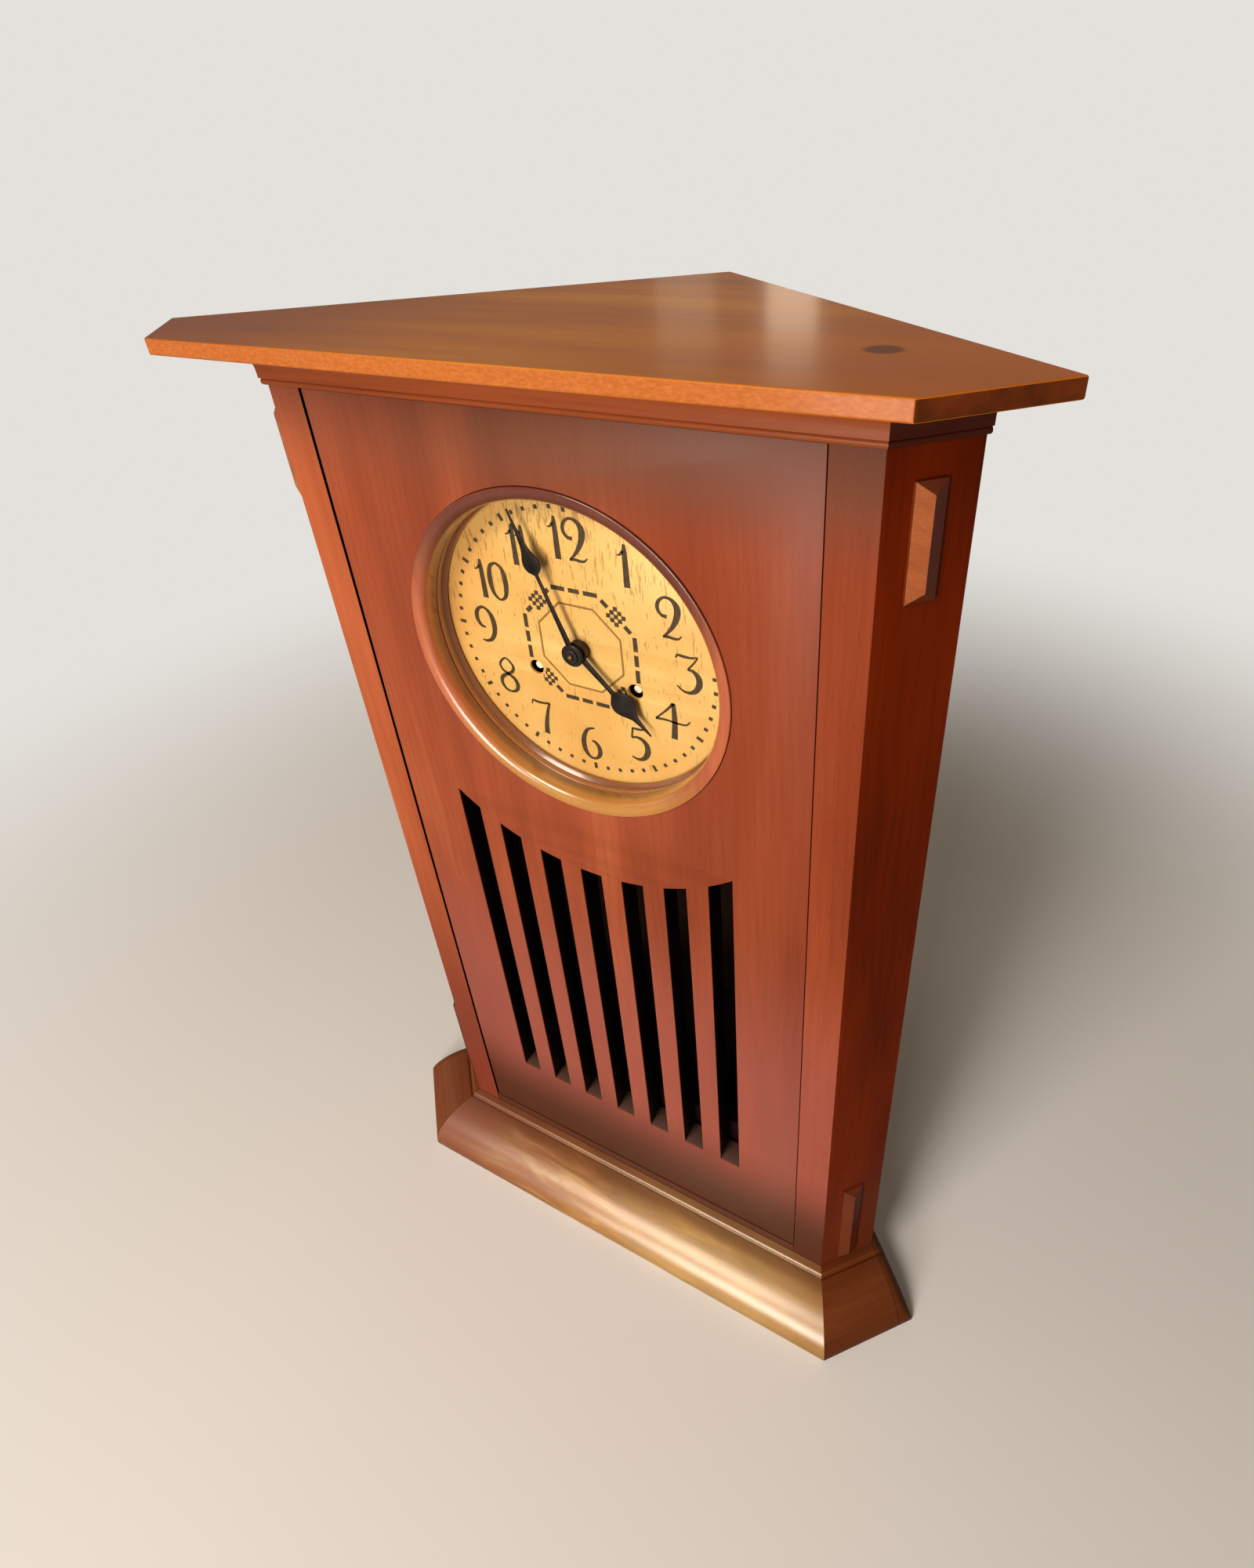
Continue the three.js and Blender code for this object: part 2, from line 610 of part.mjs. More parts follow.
function makeDoor() {
  const holes = [circle(RING_RADIUS + FIT, RING_STEPS, [0, DIAL_HEIGHT])];
  for (let i = 0; i < SLOT_COUNT; i++) holes.push(slotOutline(i));
  const outline = rectangle(doorLeft(), doorRight(), doorBottom(), doorTop());
  const reliefOutline = [
    [doorRight() - DOOR_EDGE_RELIEF, DOOR_THICKNESS],
    [doorRight(), DOOR_THICKNESS - DOOR_EDGE_RELIEF],
    [doorRight() + OVERRUN, DOOR_THICKNESS + OVERRUN],
  ];
  const pinPlace = [pinX(), PIN_FROM_FACE];
  const pinHole = (low, high) => post(PIN_RADIUS + FIT, low, high, ...pinPlace);
  const panel = cut(
    plate(outline, 0, DOOR_THICKNESS, holes),
    upright(reliefOutline, doorBottom() - OVERRUN, doorTop() + OVERRUN),
    pinHole(doorTop() - PIN_IN_DOOR - FIT, doorTop() + OVERRUN),
    pinHole(doorBottom() - OVERRUN, doorBottom() + PIN_IN_DOOR + FIT),
    rod(CATCH_RADIUS + RUN, DOOR_THICKNESS - CATCH_PLATE_THICKNESS - FIT,
      DOOR_THICKNESS + OVERRUN, [catchX(), CATCH_HEIGHT]),
  );
  add('door_panel', panel, CHERRY);
  const upperPinTop = CASE_HEIGHT - CROWN_HEIGHT + PIN_IN_RAIL;
  add('door_pin_upper', post(PIN_RADIUS, doorTop() - PIN_IN_DOOR, upperPinTop, ...pinPlace), BRASS);
  const lowerPinTop = doorBottom() + PIN_IN_DOOR;
  add('door_pin_lower', post(PIN_RADIUS, SILL_HEIGHT - PIN_IN_RAIL, lowerPinTop, ...pinPlace), BRASS);
  const plateFront = DOOR_THICKNESS - CATCH_PLATE_THICKNESS;
  add('catch_plate', rod(CATCH_RADIUS, plateFront, DOOR_THICKNESS, [catchX(), CATCH_HEIGHT]), STEEL);
}

// The turned ring: a roll that stands proud of the door and runs down inside its opening, a
// fine bead, a plain wall and a lip at the dial.
function makeRing() {
  const back = DIAL_DEPTH - RING_TO_DIAL;
  const rollOuter = arc([RING_CREST_RADIUS, 0], RING_RADIUS - RING_CREST_RADIUS, RING_PROUD,
    0, -Math.PI / 2, 3);
  const rollInner = arc([RING_CREST_RADIUS, RING_ROLL_DEPTH], RING_CREST_RADIUS - RING_THROAT_RADIUS,
    RING_ROLL_DEPTH + RING_PROUD, -Math.PI / 2, -Math.PI, 5);
  const wallRadius = RING_THROAT_RADIUS + RING_GROOVE;
  const bead = arc([wallRadius, RING_ROLL_DEPTH + RING_GROOVE + RING_BEAD], RING_BEAD, RING_BEAD,
    -Math.PI / 2, -Math.PI * (1 + HALF_SHARE), 2);
  const profile = [
    ...rollOuter,
    ...rollInner.slice(1),
    ...bead,
    [wallRadius, back - 2 * RING_LIP],
    [RING_INNER_RADIUS, back - RING_LIP],
    [RING_INNER_RADIUS, back],
    [RING_RADIUS, back],
    [RING_RADIUS, 0],
  ];
  add('bezel_ring', turned(profile, [0, DIAL_HEIGHT], RING_STEPS), TURNED);
}

function makeTop() {
  const out = TOP_OVERHANG;
  const rear = SIDE_LENGTH + TOP_REAR_OVERHANG;
  const outline = [
    sidePlace(out - out / DIAGONAL, out),
    sidePlace(rear, out),
    sidePlace(rear, -CASE_HALF_WIDTH / DIAGONAL - rear),
    ...mirrored([sidePlace(out - out / DIAGONAL, out), sidePlace(rear, out)]),
  ];
  const options = {
    depth: TOP_THICKNESS - 2 * TOP_EDGE_ROUND,
    bevelThickness: TOP_EDGE_ROUND,
    bevelSize: TOP_EDGE_ROUND,
    bevelOffset: -TOP_EDGE_ROUND,
    bevelSegments: 3,
  };
  const shape = new THREE.Shape(outline.map(([x, y]) => new THREE.Vector2(x, y)));
  const geometry = new THREE.ExtrudeGeometry(shape, options);
  add('top_board', bodyOf(geometry.translate(0, 0, CASE_HEIGHT + TOP_EDGE_ROUND)), CHERRY_TOP);
}

// A small bead, a fillet, a hollow that runs out to the full projection, and a lip.
function crownProfile() {
  const hollowStart = FIT + CROWN_BEAD + CROWN_STEP;
  const hollowBottom = 2 * CROWN_BEAD + CROWN_FILLET;
  const hollowTop = CROWN_HEIGHT - CROWN_LIP;
  const beadCentre = [FIT + CROWN_BEAD / 2, CROWN_BEAD];
  return [
    [FIT, 0],
    ...arc(beadCentre, CROWN_BEAD, CROWN_BEAD, -Math.PI / 2, Math.PI / 2, 6),
    [hollowStart, 2 * CROWN_BEAD],
    ...arc([CROWN_PROJECTION, hollowBottom], CROWN_PROJECTION - hollowStart,
      hollowTop - hollowBottom, Math.PI, Math.PI / 2, 6),
    [CROWN_PROJECTION, CROWN_HEIGHT],
    [FIT, CROWN_HEIGHT],
  ];
}

// A ledge with a small bead, and a quarter round that falls to a short upright foot.
function baseProfile() {
  const roundStart = BASE_LEDGE + 3 * BASE_BEAD;
  const roundTop = BASE_HEIGHT - BASE_BEAD;
  const beadCentre = [BASE_LEDGE + BASE_BEAD / 2, BASE_HEIGHT - BASE_BEAD];
  return [
    [FIT, 0],
    [BASE_PROJECTION, 0],
    ...arc([roundStart, BASE_FOOT], BASE_PROJECTION - roundStart, roundTop - BASE_FOOT,
      0, Math.PI / 2, 12),
    [roundStart - BASE_BEAD / 2, roundTop - BASE_BEAD / 2],
    ...arc(beadCentre, BASE_BEAD, BASE_BEAD, 0, Math.PI / 2, 4),
    [FIT, BASE_HEIGHT],
  ];
}

// How far out, which is far in, a place on the middle plane lies at a distance along the side.
const middleOut = (along) => -CASE_HALF_WIDTH / DIAGONAL - along + FIT;

// The boards behind the case that stand against the walls. Each repeats the moulding's section,
// and above the foot it falls away across its thickness in a quarter round.
function makeBaseBacks() {
  for (const [side, sign] of [['left', -1], ['right', 1]]) {
    const geometry = extruded(baseProfile(), BASE_BACK_ROUND, BASE_BACK_STEPS);
    const place = geometry.attributes.position;
    for (let i = 0; i < place.count; i++) {
      const [out, up, turn] = [place.getX(i), place.getY(i), place.getZ(i)];
      const share = Math.sin(turn) / Math.sin(BASE_BACK_ROUND);
      const along = SIDE_LENGTH + FIT + BASE_BACK_THICKNESS * share;
      const [x, y] = sidePlace(along, out > 2 * FIT ? out : middleOut(along));
      const lift = Math.min(up, BASE_FOOT) + Math.max(up - BASE_FOOT, 0) * Math.cos(turn);
      place.setXYZ(i, sign * x, y, lift);
    }
    add(`base_back_${side}`, bodyOf(geometry), CHERRY);
  }
}

// Hands
function handOutline(shares, length, bulbWidth) {
  const half = shares.map(([along, wide]) => new THREE.Vector2((wide * bulbWidth) / 2, along * length));
  const right = new THREE.SplineCurve(half).getPoints(HAND_CURVE_STEPS).map((p) => [p.x, p.y]);
  return bothSides(right);
}

function makeHands() {
  const place = (outline, angle) => moved(clockwise(outline, angle), ...centre);
  const hourFront = DIAL_DEPTH - HOUR_HAND_HEIGHT - HAND_THICKNESS;
  const hourBack = hourFront + HAND_THICKNESS;
  const hourBlade = plate(
    place(handOutline(HOUR_HAND_SHARES, HOUR_HAND_LENGTH, HOUR_BULB_WIDTH), HOUR_HAND_ANGLE),
    hourFront, hourBack);
  const hourHub = rod(HOUR_COLLET_RADIUS, hourFront, hourFront + HOUR_COLLET_LENGTH, centre);
  const hourBore = rod(PIPE_TUBE + FIT, 0, PLATE_DEPTH, centre);
  add('hour_hand', cut(joined(hourBlade, hourHub), hourBore), BLUED);

  const minuteFront = DIAL_DEPTH - MINUTE_HAND_HEIGHT - HAND_THICKNESS;
  const minuteBack = minuteFront + HAND_THICKNESS;
  const minuteBlade = plate(
    place(handOutline(MINUTE_HAND_SHARES, MINUTE_HAND_LENGTH, MINUTE_BULB_WIDTH), MINUTE_HAND_ANGLE),
    minuteFront, minuteBack);
  const minuteHub = rod(NUT_STEP_RADIUS, minuteFront, minuteBack, centre);
  const minuteBore = rod(SHAFT_RADIUS + 2 * FIT, 0, PLATE_DEPTH, centre, SMALL_STEPS);
  add('minute_hand', cut(joined(minuteBlade, minuteHub), minuteBore), BLUED);

  const nutBack = minuteFront;
  const nutFront = nutBack - NUT_THICKNESS;
  const bore = SHAFT_RADIUS + 2 * FIT;
  const nutProfile = [
    [bore, nutFront - NUT_STEP],
    [NUT_STEP_RADIUS, nutFront - NUT_STEP],
    [NUT_STEP_RADIUS, nutFront],
    [NUT_RADIUS - NUT_STEP / 2, nutFront],
    [NUT_RADIUS, nutFront + NUT_STEP / 2],
    [NUT_RADIUS, nutBack],
    [bore, nutBack],
    [bore, nutFront - NUT_STEP],
  ];
  add('hand_nut', turned(nutProfile, centre), BLUED);
}

// The board that the movement stands on
function makeSeat() {
  const outline = shelfOutline(SEAT_FRONT, SEAT_BACK);
  add('seat_board', upright(outline, seatTop - SEAT_THICKNESS, seatTop), CHERRY);
}

// Dial plate with its four feet
function makeDial() {
  const back = DIAL_DEPTH + DIAL_THICKNESS;
  const holes = [
    circle(DIAL_BORE, ROUND_STEPS, centre),
    circle(WINDING_HOLE_RADIUS, ROUND_STEPS, windingPlace(-1)),
    circle(WINDING_HOLE_RADIUS, ROUND_STEPS, windingPlace(1)),
  ];
  const sheet = plate(circle(DIAL_RADIUS, RING_STEPS, centre), DIAL_DEPTH, back, holes);
  const feet = [1, 3, 5, 7].map((eighth) => {
    const [x, z] = polar(DIAL_FEET_CIRCLE, (eighth * Math.PI) / 4);
    const footFront = back - DIAL_THICKNESS / 2;
    return rod(DIAL_FOOT_RADIUS, footFront, PLATE_DEPTH, [x, DIAL_HEIGHT + z], SMALL_STEPS);
  });
  add('dial_plate', joined(sheet, ...feet), DIAL_GOLD);
}

// Wheels. A place is [x, z] in the case.
const windingPlace = (side) => [side * WINDING_SPREAD, DIAL_HEIGHT - WINDING_DROP];
const pitchRadius = (teeth, module) => (teeth * module) / 2;
const angleTo = ([ax, az], [bx, bz]) => Math.atan2(bz - az, bx - ax);
const offset = ([x, z], distance, angle) => [
  x + distance * Math.cos(angle),
  z + distance * Math.sin(angle),
];

// The place at given distances from two others, on the left or the right of the line a to b.
function meeting(a, fromA, b, fromB, side) {
  const span = Math.hypot(b[0] - a[0], b[1] - a[1]);
  const along = (fromA ** 2 - fromB ** 2 + span ** 2) / (2 * span);
  const turn = side * Math.acos(along / fromA);
  return offset(a, fromA, angleTo(a, b) + turn);
}

// Repeats a few corners round a circle. Each corner is a radius and a share of one step.
function around(count, toward, corners) {
  const step = (2 * Math.PI) / count;
  const one = (i) => corners.map(([radius, share]) => polar(radius, toward + (i + share) * step));
  return Array.from({ length: count }, (_, i) => one(i)).flat();
}

// A wheel has a tooth in the direction toward, and a pinion has the gap between two leaves there.
function wheelOutline(teeth, module, toward) {
  const pitch = pitchRadius(teeth, module);
  const [root, tip] = [pitch - DEDENDUM_SHARE * module, pitch + ADDENDUM_SHARE * module];
  return around(teeth, toward, [[tip, 0], [root, HALF_SHARE]]);
}

function pinionOutline(leaves, module, toward) {
  const pitch = pitchRadius(leaves, module);
  const [root, tip] = [pitch - DEDENDUM_SHARE * module, pitch + ADDENDUM_SHARE * module];
  return around(leaves, toward, [[root, 0], [tip, HALF_SHARE]]);
}

// Crossings leave a rim, a hub and straight spokes.
function crossings(rim, hub, spokes, spokeWidth, toward) {
  const step = (2 * Math.PI) / spokes;
  return Array.from({ length: spokes }, (_, i) => {
    const middle = toward + (i + HALF_SHARE) * step;
    const outer = step / 2 - Math.asin(spokeWidth / 2 / rim);
    const inner = step / 2 - Math.asin(spokeWidth / 2 / hub);
    return [
      ...arc([0, 0], rim, rim, middle - outer, middle + outer, 3),
      ...arc([0, 0], hub, hub, middle + inner, middle - inner, 1),
    ];
  });
}

function wheelAt(place, teeth, module, toward, front, spokes = 4) {
  const pitch = pitchRadius(teeth, module);
  const [rim, hub, spokeWidth] = [pitch * RIM_SHARE, pitch * HUB_SHARE, pitch * SPOKE_SHARE];
  const holes = crossings(rim, hub, spokes, spokeWidth, toward).map((hole) => moved(hole, ...place));
  const outline = moved(wheelOutline(teeth, module, toward), ...place);
  return plate(outline, front, front + WHEEL_THICKNESS, holes);
}

function pinionAt(place, leaves, module, toward, wheelFront) {
  const outline = pinionOutline(leaves, module, toward);
  const front = wheelFront + WHEEL_THICKNESS / 2 - PINION_LENGTH / 2;
  return plate(moved(outline, ...place), front, front + PINION_LENGTH);
}

const insideFront = PLATE_DEPTH + PLATE_THICKNESS;
const insideBack = insideFront + PLATE_GAP;
const layer = (distance) => insideFront + distance;

// A shaft between the plates with a pivot in each.
function shaft(place, radius = SHAFT_RADIUS) {
  const pivot = Math.min(radius, PIVOT_RADIUS) * PIVOT_SHARE;
  const profile = [
    [0, PLATE_DEPTH + FIT],
    [pivot, PLATE_DEPTH + FIT],
    [pivot, insideFront + FIT],
    [radius, insideFront + FIT],
    [radius, insideBack - FIT],
    [pivot, insideBack - FIT],
    [pivot, insideBack + PLATE_THICKNESS - FIT],
    [0, insideBack + PLATE_THICKNESS - FIT],
  ];
  return turned(profile, place, SMALL_STEPS);
}

// Places of the arbors
const centre = [0, DIAL_HEIGHT];
const escapePlace = [0, DIAL_HEIGHT + ESCAPE_RISE];
const anchorPlace = [0, DIAL_HEIGHT + ANCHOR_RISE];
const greatToSecond = pitchRadius(GREAT_TEETH + SECOND_LEAVES, GREAT_MODULE);
const secondToCentre = pitchRadius(SECOND_TEETH + CENTRE_LEAVES, SECOND_MODULE);
const secondPlace = meeting(centre, secondToCentre, windingPlace(1), greatToSecond, 1);
const centreToThird = pitchRadius(CENTRE_TEETH + THIRD_LEAVES, CENTRE_MODULE);
const thirdToEscape = pitchRadius(THIRD_TEETH + ESCAPE_LEAVES, THIRD_MODULE);
const thirdPlace = meeting(centre, centreToThird, escapePlace, thirdToEscape, 1);
const strikeSecondPlace = offset(windingPlace(-1), greatToSecond, STRIKE_SECOND_ANGLE);
const secondToPin = pitchRadius(SECOND_TEETH + PIN_WHEEL_LEAVES, SECOND_MODULE);
const pinWheelPlace = offset(strikeSecondPlace, secondToPin, PIN_WHEEL_ANGLE);
const pinToFly = pitchRadius(PIN_WHEEL_TEETH + FLY_LEAVES, PIN_WHEEL_MODULE);
const flyPlace = offset(pinWheelPlace, pinToFly, FLY_ANGLE);
const hammerPlace = [-HAMMER_ARBOR_LEFT, DIAL_HEIGHT + HAMMER_ARBOR_RISE];
const seatTop = DIAL_HEIGHT - PLATE_BELOW;
const cannonToMinute = pitchRadius(CANNON_LEAVES + MINUTE_WHEEL_TEETH, MOTION_MODULE);
const minuteWheelPlace = [0, DIAL_HEIGHT - cannonToMinute];
const clickPlace = (side) => {
  const [x, z] = windingPlace(side);
  return [x + side * CLICK_PIVOT_OUT, z + CLICK_PIVOT_RISE];
};

function plateOutline() {
  const [low, high] = [DIAL_HEIGHT - PLATE_BELOW, DIAL_HEIGHT + PLATE_ABOVE];
  const right = [
    [PLATE_HALF_WIDTH - PLATE_CORNER, low],
    [PLATE_HALF_WIDTH, low + PLATE_CORNER],
    [PLATE_HALF_WIDTH, high - PLATE_CORNER],
    [PLATE_HALF_WIDTH - PLATE_CORNER, high],
  ];
  return bothSides(right);
}

function pillarPlaces() {
  const x = PLATE_HALF_WIDTH - PILLAR_INSET;
  const low = DIAL_HEIGHT - PLATE_BELOW + PILLAR_INSET;
  const high = DIAL_HEIGHT + PLATE_ABOVE - PILLAR_INSET;
  return [[-x, low], [x, low], [-x, high], [x, high]];
}

function makePlates() {
  const pivots = [secondPlace, thirdPlace, escapePlace, anchorPlace, strikeSecondPlace, pinWheelPlace,
    flyPlace, hammerPlace];
  const pivotHoles = pivots.map((place) => circle(PIVOT_RADIUS + RUN, SMALL_STEPS, place));
  const windingHoles = (radius, steps) => [-1, 1].map(
    (side) => circle(radius, steps, windingPlace(side)));
  const frontHoles = [
    circle(CANNON_BORE + RUN, SMALL_STEPS, centre),
    ...windingHoles(WINDING_ARBOR_RADIUS + FIT, ROUND_STEPS),
    ...pivotHoles,
  ];
  const studBack = PLATE_DEPTH + PLATE_THICKNESS / 2;
  const studs = [
    rod(STUD_RADIUS, motionFront() - FIT, studBack, minuteWheelPlace, SMALL_STEPS),
    rod(STUD_RADIUS, ratchetFront() - FIT, studBack, clickPlace(-1), SMALL_STEPS),
    rod(STUD_RADIUS, ratchetFront() - FIT, studBack, clickPlace(1), SMALL_STEPS),
  ];
  const front = plate(plateOutline(), PLATE_DEPTH, insideFront, frontHoles);
  add('front_plate', joined(front, ...studs), BRASS);

  const backHoles = [
    circle(PIVOT_RADIUS + RUN, SMALL_STEPS, centre),
    ...pivotHoles,
    ...windingHoles(WINDING_PIVOT_RADIUS + RUN, SMALL_STEPS),
  ];
  const back = plate(plateOutline(), insideBack, PLATES_BACK, backHoles);
  const pillarBack = insideBack + PLATE_THICKNESS / 2;
  const pillars = pillarPlaces().map(
    (place) => rod(PILLAR_RADIUS, insideFront, pillarBack, place, SMALL_STEPS));
  add('back_plate', joined(back, ...pillars), BRASS);
}

// Motion work between the dial and the front plate
const cannonLayer = () => PLATE_DEPTH - FIT - PINION_LENGTH;
const cannonWheelFront = () => cannonLayer() + (PINION_LENGTH - WHEEL_THICKNESS) / 2;
const hourWheelFront = () => motionFront() + (PINION_LENGTH - WHEEL_THICKNESS) / 2;
const motionFront = () => cannonLayer() - FIT - PINION_LENGTH;
const ratchetBack = () => PLATE_DEPTH - 2 * FIT;
const ratchetFront = () => ratchetBack() - WHEEL_THICKNESS;

function makeMotionWork() {
  const down = angleTo(centre, minuteWheelPlace);
  const up = angleTo(minuteWheelPlace, centre);
  const minuteFront = DIAL_DEPTH - MINUTE_HAND_HEIGHT;
  const cannonBore = rod(CANNON_BORE, 0, PLATE_DEPTH, centre, SMALL_STEPS);
  const cannonLeaves = pinionAt(centre, CANNON_LEAVES, MOTION_MODULE, down, cannonWheelFront());
  const cannonTube = rod(CANNON_TUBE, minuteFront, PLATE_DEPTH - FIT, centre);
  add('cannon_pinion', cut(joined(cannonTube, cannonLeaves), cannonBore), BRASS);

  const wheel = wheelAt(minuteWheelPlace, MINUTE_WHEEL_TEETH, MOTION_MODULE, up, cannonWheelFront(), 3);
  const leaves = pinionAt(minuteWheelPlace, MINUTE_WHEEL_LEAVES, MOTION_MODULE, up, hourWheelFront());
  const bossRadius = pitchRadius(MINUTE_WHEEL_LEAVES, MOTION_MODULE) * BOSS_SHARE;
  const boss = rod(bossRadius, motionFront(), PLATE_DEPTH - FIT, minuteWheelPlace);
  const studBore = rod(STUD_RADIUS + RUN, 0, PLATE_DEPTH, minuteWheelPlace, SMALL_STEPS);
  add('minute_wheel', cut(joined(wheel, leaves, boss), studBore), BRASS);

  const pipeFront = DIAL_DEPTH - HOUR_HAND_HEIGHT - HAND_THICKNESS - FIT;
  const pipe = rod(PIPE_TUBE, pipeFront, hourWheelFront() + WHEEL_THICKNESS, centre);
  const hourTeeth = moved(wheelOutline(HOUR_WHEEL_TEETH, MOTION_MODULE, down), ...centre);
  const hourDisc = plate(hourTeeth, hourWheelFront(), hourWheelFront() + WHEEL_THICKNESS);
  add('hour_wheel', cut(joined(pipe, hourDisc), rod(PIPE_BORE, 0, PLATE_DEPTH, centre)), BRASS);
}

// Barrel, winding arbor and click, on the going side (+1) or the strike side (-1)
function makeWinding(name, side, secondAt) {
  const place = windingPlace(side);
  const bore = rod(WINDING_ARBOR_RADIUS + FIT, PLATE_DEPTH, insideBack, place);
  const drumFront = layer(BARREL_LAYER);
  const drumBack = layer(GREAT_LAYER) + FIT;
  const drumProfile = [
    [0, drumFront],
    [BARREL_RADIUS - 2 * BARREL_RIM, drumFront],
    [BARREL_RADIUS - 2 * BARREL_RIM, drumFront + BARREL_RIM],
    [BARREL_RADIUS, drumFront + BARREL_RIM],
    [BARREL_RADIUS, drumBack],
    [0, drumBack],
  ];
  const greatTeeth = wheelOutline(GREAT_TEETH, GREAT_MODULE, angleTo(place, secondAt));
  const great = plate(moved(greatTeeth, ...place), layer(GREAT_LAYER),
    layer(GREAT_LAYER) + WHEEL_THICKNESS);
  add(`${name}_barrel`, cut(joined(turned(drumProfile, place, LARGE_STEPS), great), bore), BRASS);

  const tip = DIAL_DEPTH + WINDING_SETBACK;
  const arborProfile = [
    [0, tip],
    [WINDING_SQUARE_RADIUS, tip],
    [WINDING_SQUARE_RADIUS, ratchetFront() - FIT],
    [WINDING_ARBOR_RADIUS, ratchetFront() - FIT],
    [WINDING_ARBOR_RADIUS, insideBack - FIT],
    [WINDING_PIVOT_RADIUS, insideBack - FIT],
    [WINDING_PIVOT_RADIUS, PLATES_BACK],
    [0, PLATES_BACK],
  ];
  const ratchet = around(RATCHET_TEETH, CLICK_ANGLE,
    [[RATCHET_ROOT, 0], [RATCHET_RADIUS, RATCHET_FACE_SHARE]]);
  const ratchetBody = plate(moved(oneSide(ratchet, side), ...place), ratchetFront(), ratchetBack());
  add(`${name}_winding_arbor`, joined(turned(arborProfile, place, SMALL_STEPS), ratchetBody), STEEL);

  const tipPlace = polar(CLICK_REACH, CLICK_ANGLE - CLICK_GAP);
  const pivot = [CLICK_PIVOT_OUT, CLICK_PIVOT_RISE];
  const lean = angleTo(pivot, tipPlace);
  const clickOutline = [
    offset(tipPlace, CLICK_TIP, lean + Math.PI / 2),
    offset(tipPlace, CLICK_TIP, lean - Math.PI / 2),
    ...arc(pivot, CLICK_EYE, CLICK_EYE, lean - Math.PI / 2, lean - Math.PI * (1 + HALF_SHARE), 6),
  ];
  const clickBody = plate(moved(oneSide(clickOutline, side), ...place), ratchetFront(), ratchetBack());
  const eye = rod(STUD_RADIUS + RUN, 0, PLATE_DEPTH, clickPlace(side), SMALL_STEPS);
  add(`${name}_click`, cut(clickBody, eye), STEEL);
}

function makeGoingTrain() {
  const centrePinion = pinionAt(centre, CENTRE_LEAVES, SECOND_MODULE, angleTo(centre, secondPlace),
    layer(SECOND_LAYER));
  const centreWheel = wheelAt(centre, CENTRE_TEETH, CENTRE_MODULE, angleTo(centre, thirdPlace),
    layer(CENTRE_LAYER));
  const tip = DIAL_DEPTH - MINUTE_HAND_HEIGHT - HAND_THICKNESS - NUT_THICKNESS - NUT_STEP - ARBOR_TIP;
  const thin = SHAFT_RADIUS + FIT;
  const arborProfile = [
    [0, tip],
    [thin * ARBOR_END_SHARE, tip],
    [thin, tip + FIT],
    [thin, insideFront + FIT],
    [CENTRE_SHAFT_RADIUS, insideFront + FIT],
    [CENTRE_SHAFT_RADIUS, insideBack - FIT],
    [PIVOT_RADIUS, insideBack - FIT],
    [PIVOT_RADIUS, insideBack + PLATE_THICKNESS - FIT],
    [0, insideBack + PLATE_THICKNESS - FIT],
  ];
  const arbor = turned(arborProfile, centre, SMALL_STEPS);
  add('centre_arbor', joined(arbor, centrePinion, centreWheel), BRASS);

  const second = joined(
    shaft(secondPlace),
    wheelAt(secondPlace, SECOND_TEETH, SECOND_MODULE, angleTo(secondPlace, centre),
      layer(SECOND_LAYER)),
    pinionAt(secondPlace, SECOND_LEAVES, GREAT_MODULE, angleTo(secondPlace, windingPlace(1)),
      layer(GREAT_LAYER)),
  );
  add('time_second_arbor', second, BRASS);

  const third = joined(
    shaft(thirdPlace, FAST_SHAFT_RADIUS),
    wheelAt(thirdPlace, THIRD_TEETH, THIRD_MODULE, angleTo(thirdPlace, escapePlace),
      layer(THIRD_LAYER)),
    pinionAt(thirdPlace, THIRD_LEAVES, CENTRE_MODULE, angleTo(thirdPlace, centre),
      layer(CENTRE_LAYER)),
  );
  add('third_arbor', third, BRASS);

  const escapeTeeth = around(ESCAPE_TEETH, 0, [[ESCAPE_RADIUS, 0], [ESCAPE_ROOT, ESCAPE_LEAN_SHARE]]);
  const [rim, hub, spokeWidth] = [RIM_SHARE, HUB_SHARE, SPOKE_SHARE].map((share) => ESCAPE_ROOT * share);
  const holes = crossings(rim, hub, 4, spokeWidth, 0).map((hole) => moved(hole, ...escapePlace));
  const wheelFront = layer(ESCAPE_LAYER);
  const escape = joined(
    shaft(escapePlace, FAST_SHAFT_RADIUS),
    plate(moved(escapeTeeth, ...escapePlace), wheelFront, wheelFront + WHEEL_THICKNESS, holes),
    pinionAt(escapePlace, ESCAPE_LEAVES, THIRD_MODULE, angleTo(escapePlace, thirdPlace),
      layer(THIRD_LAYER)),
  );
  add('escape_arbor', escape, BRASS);
}

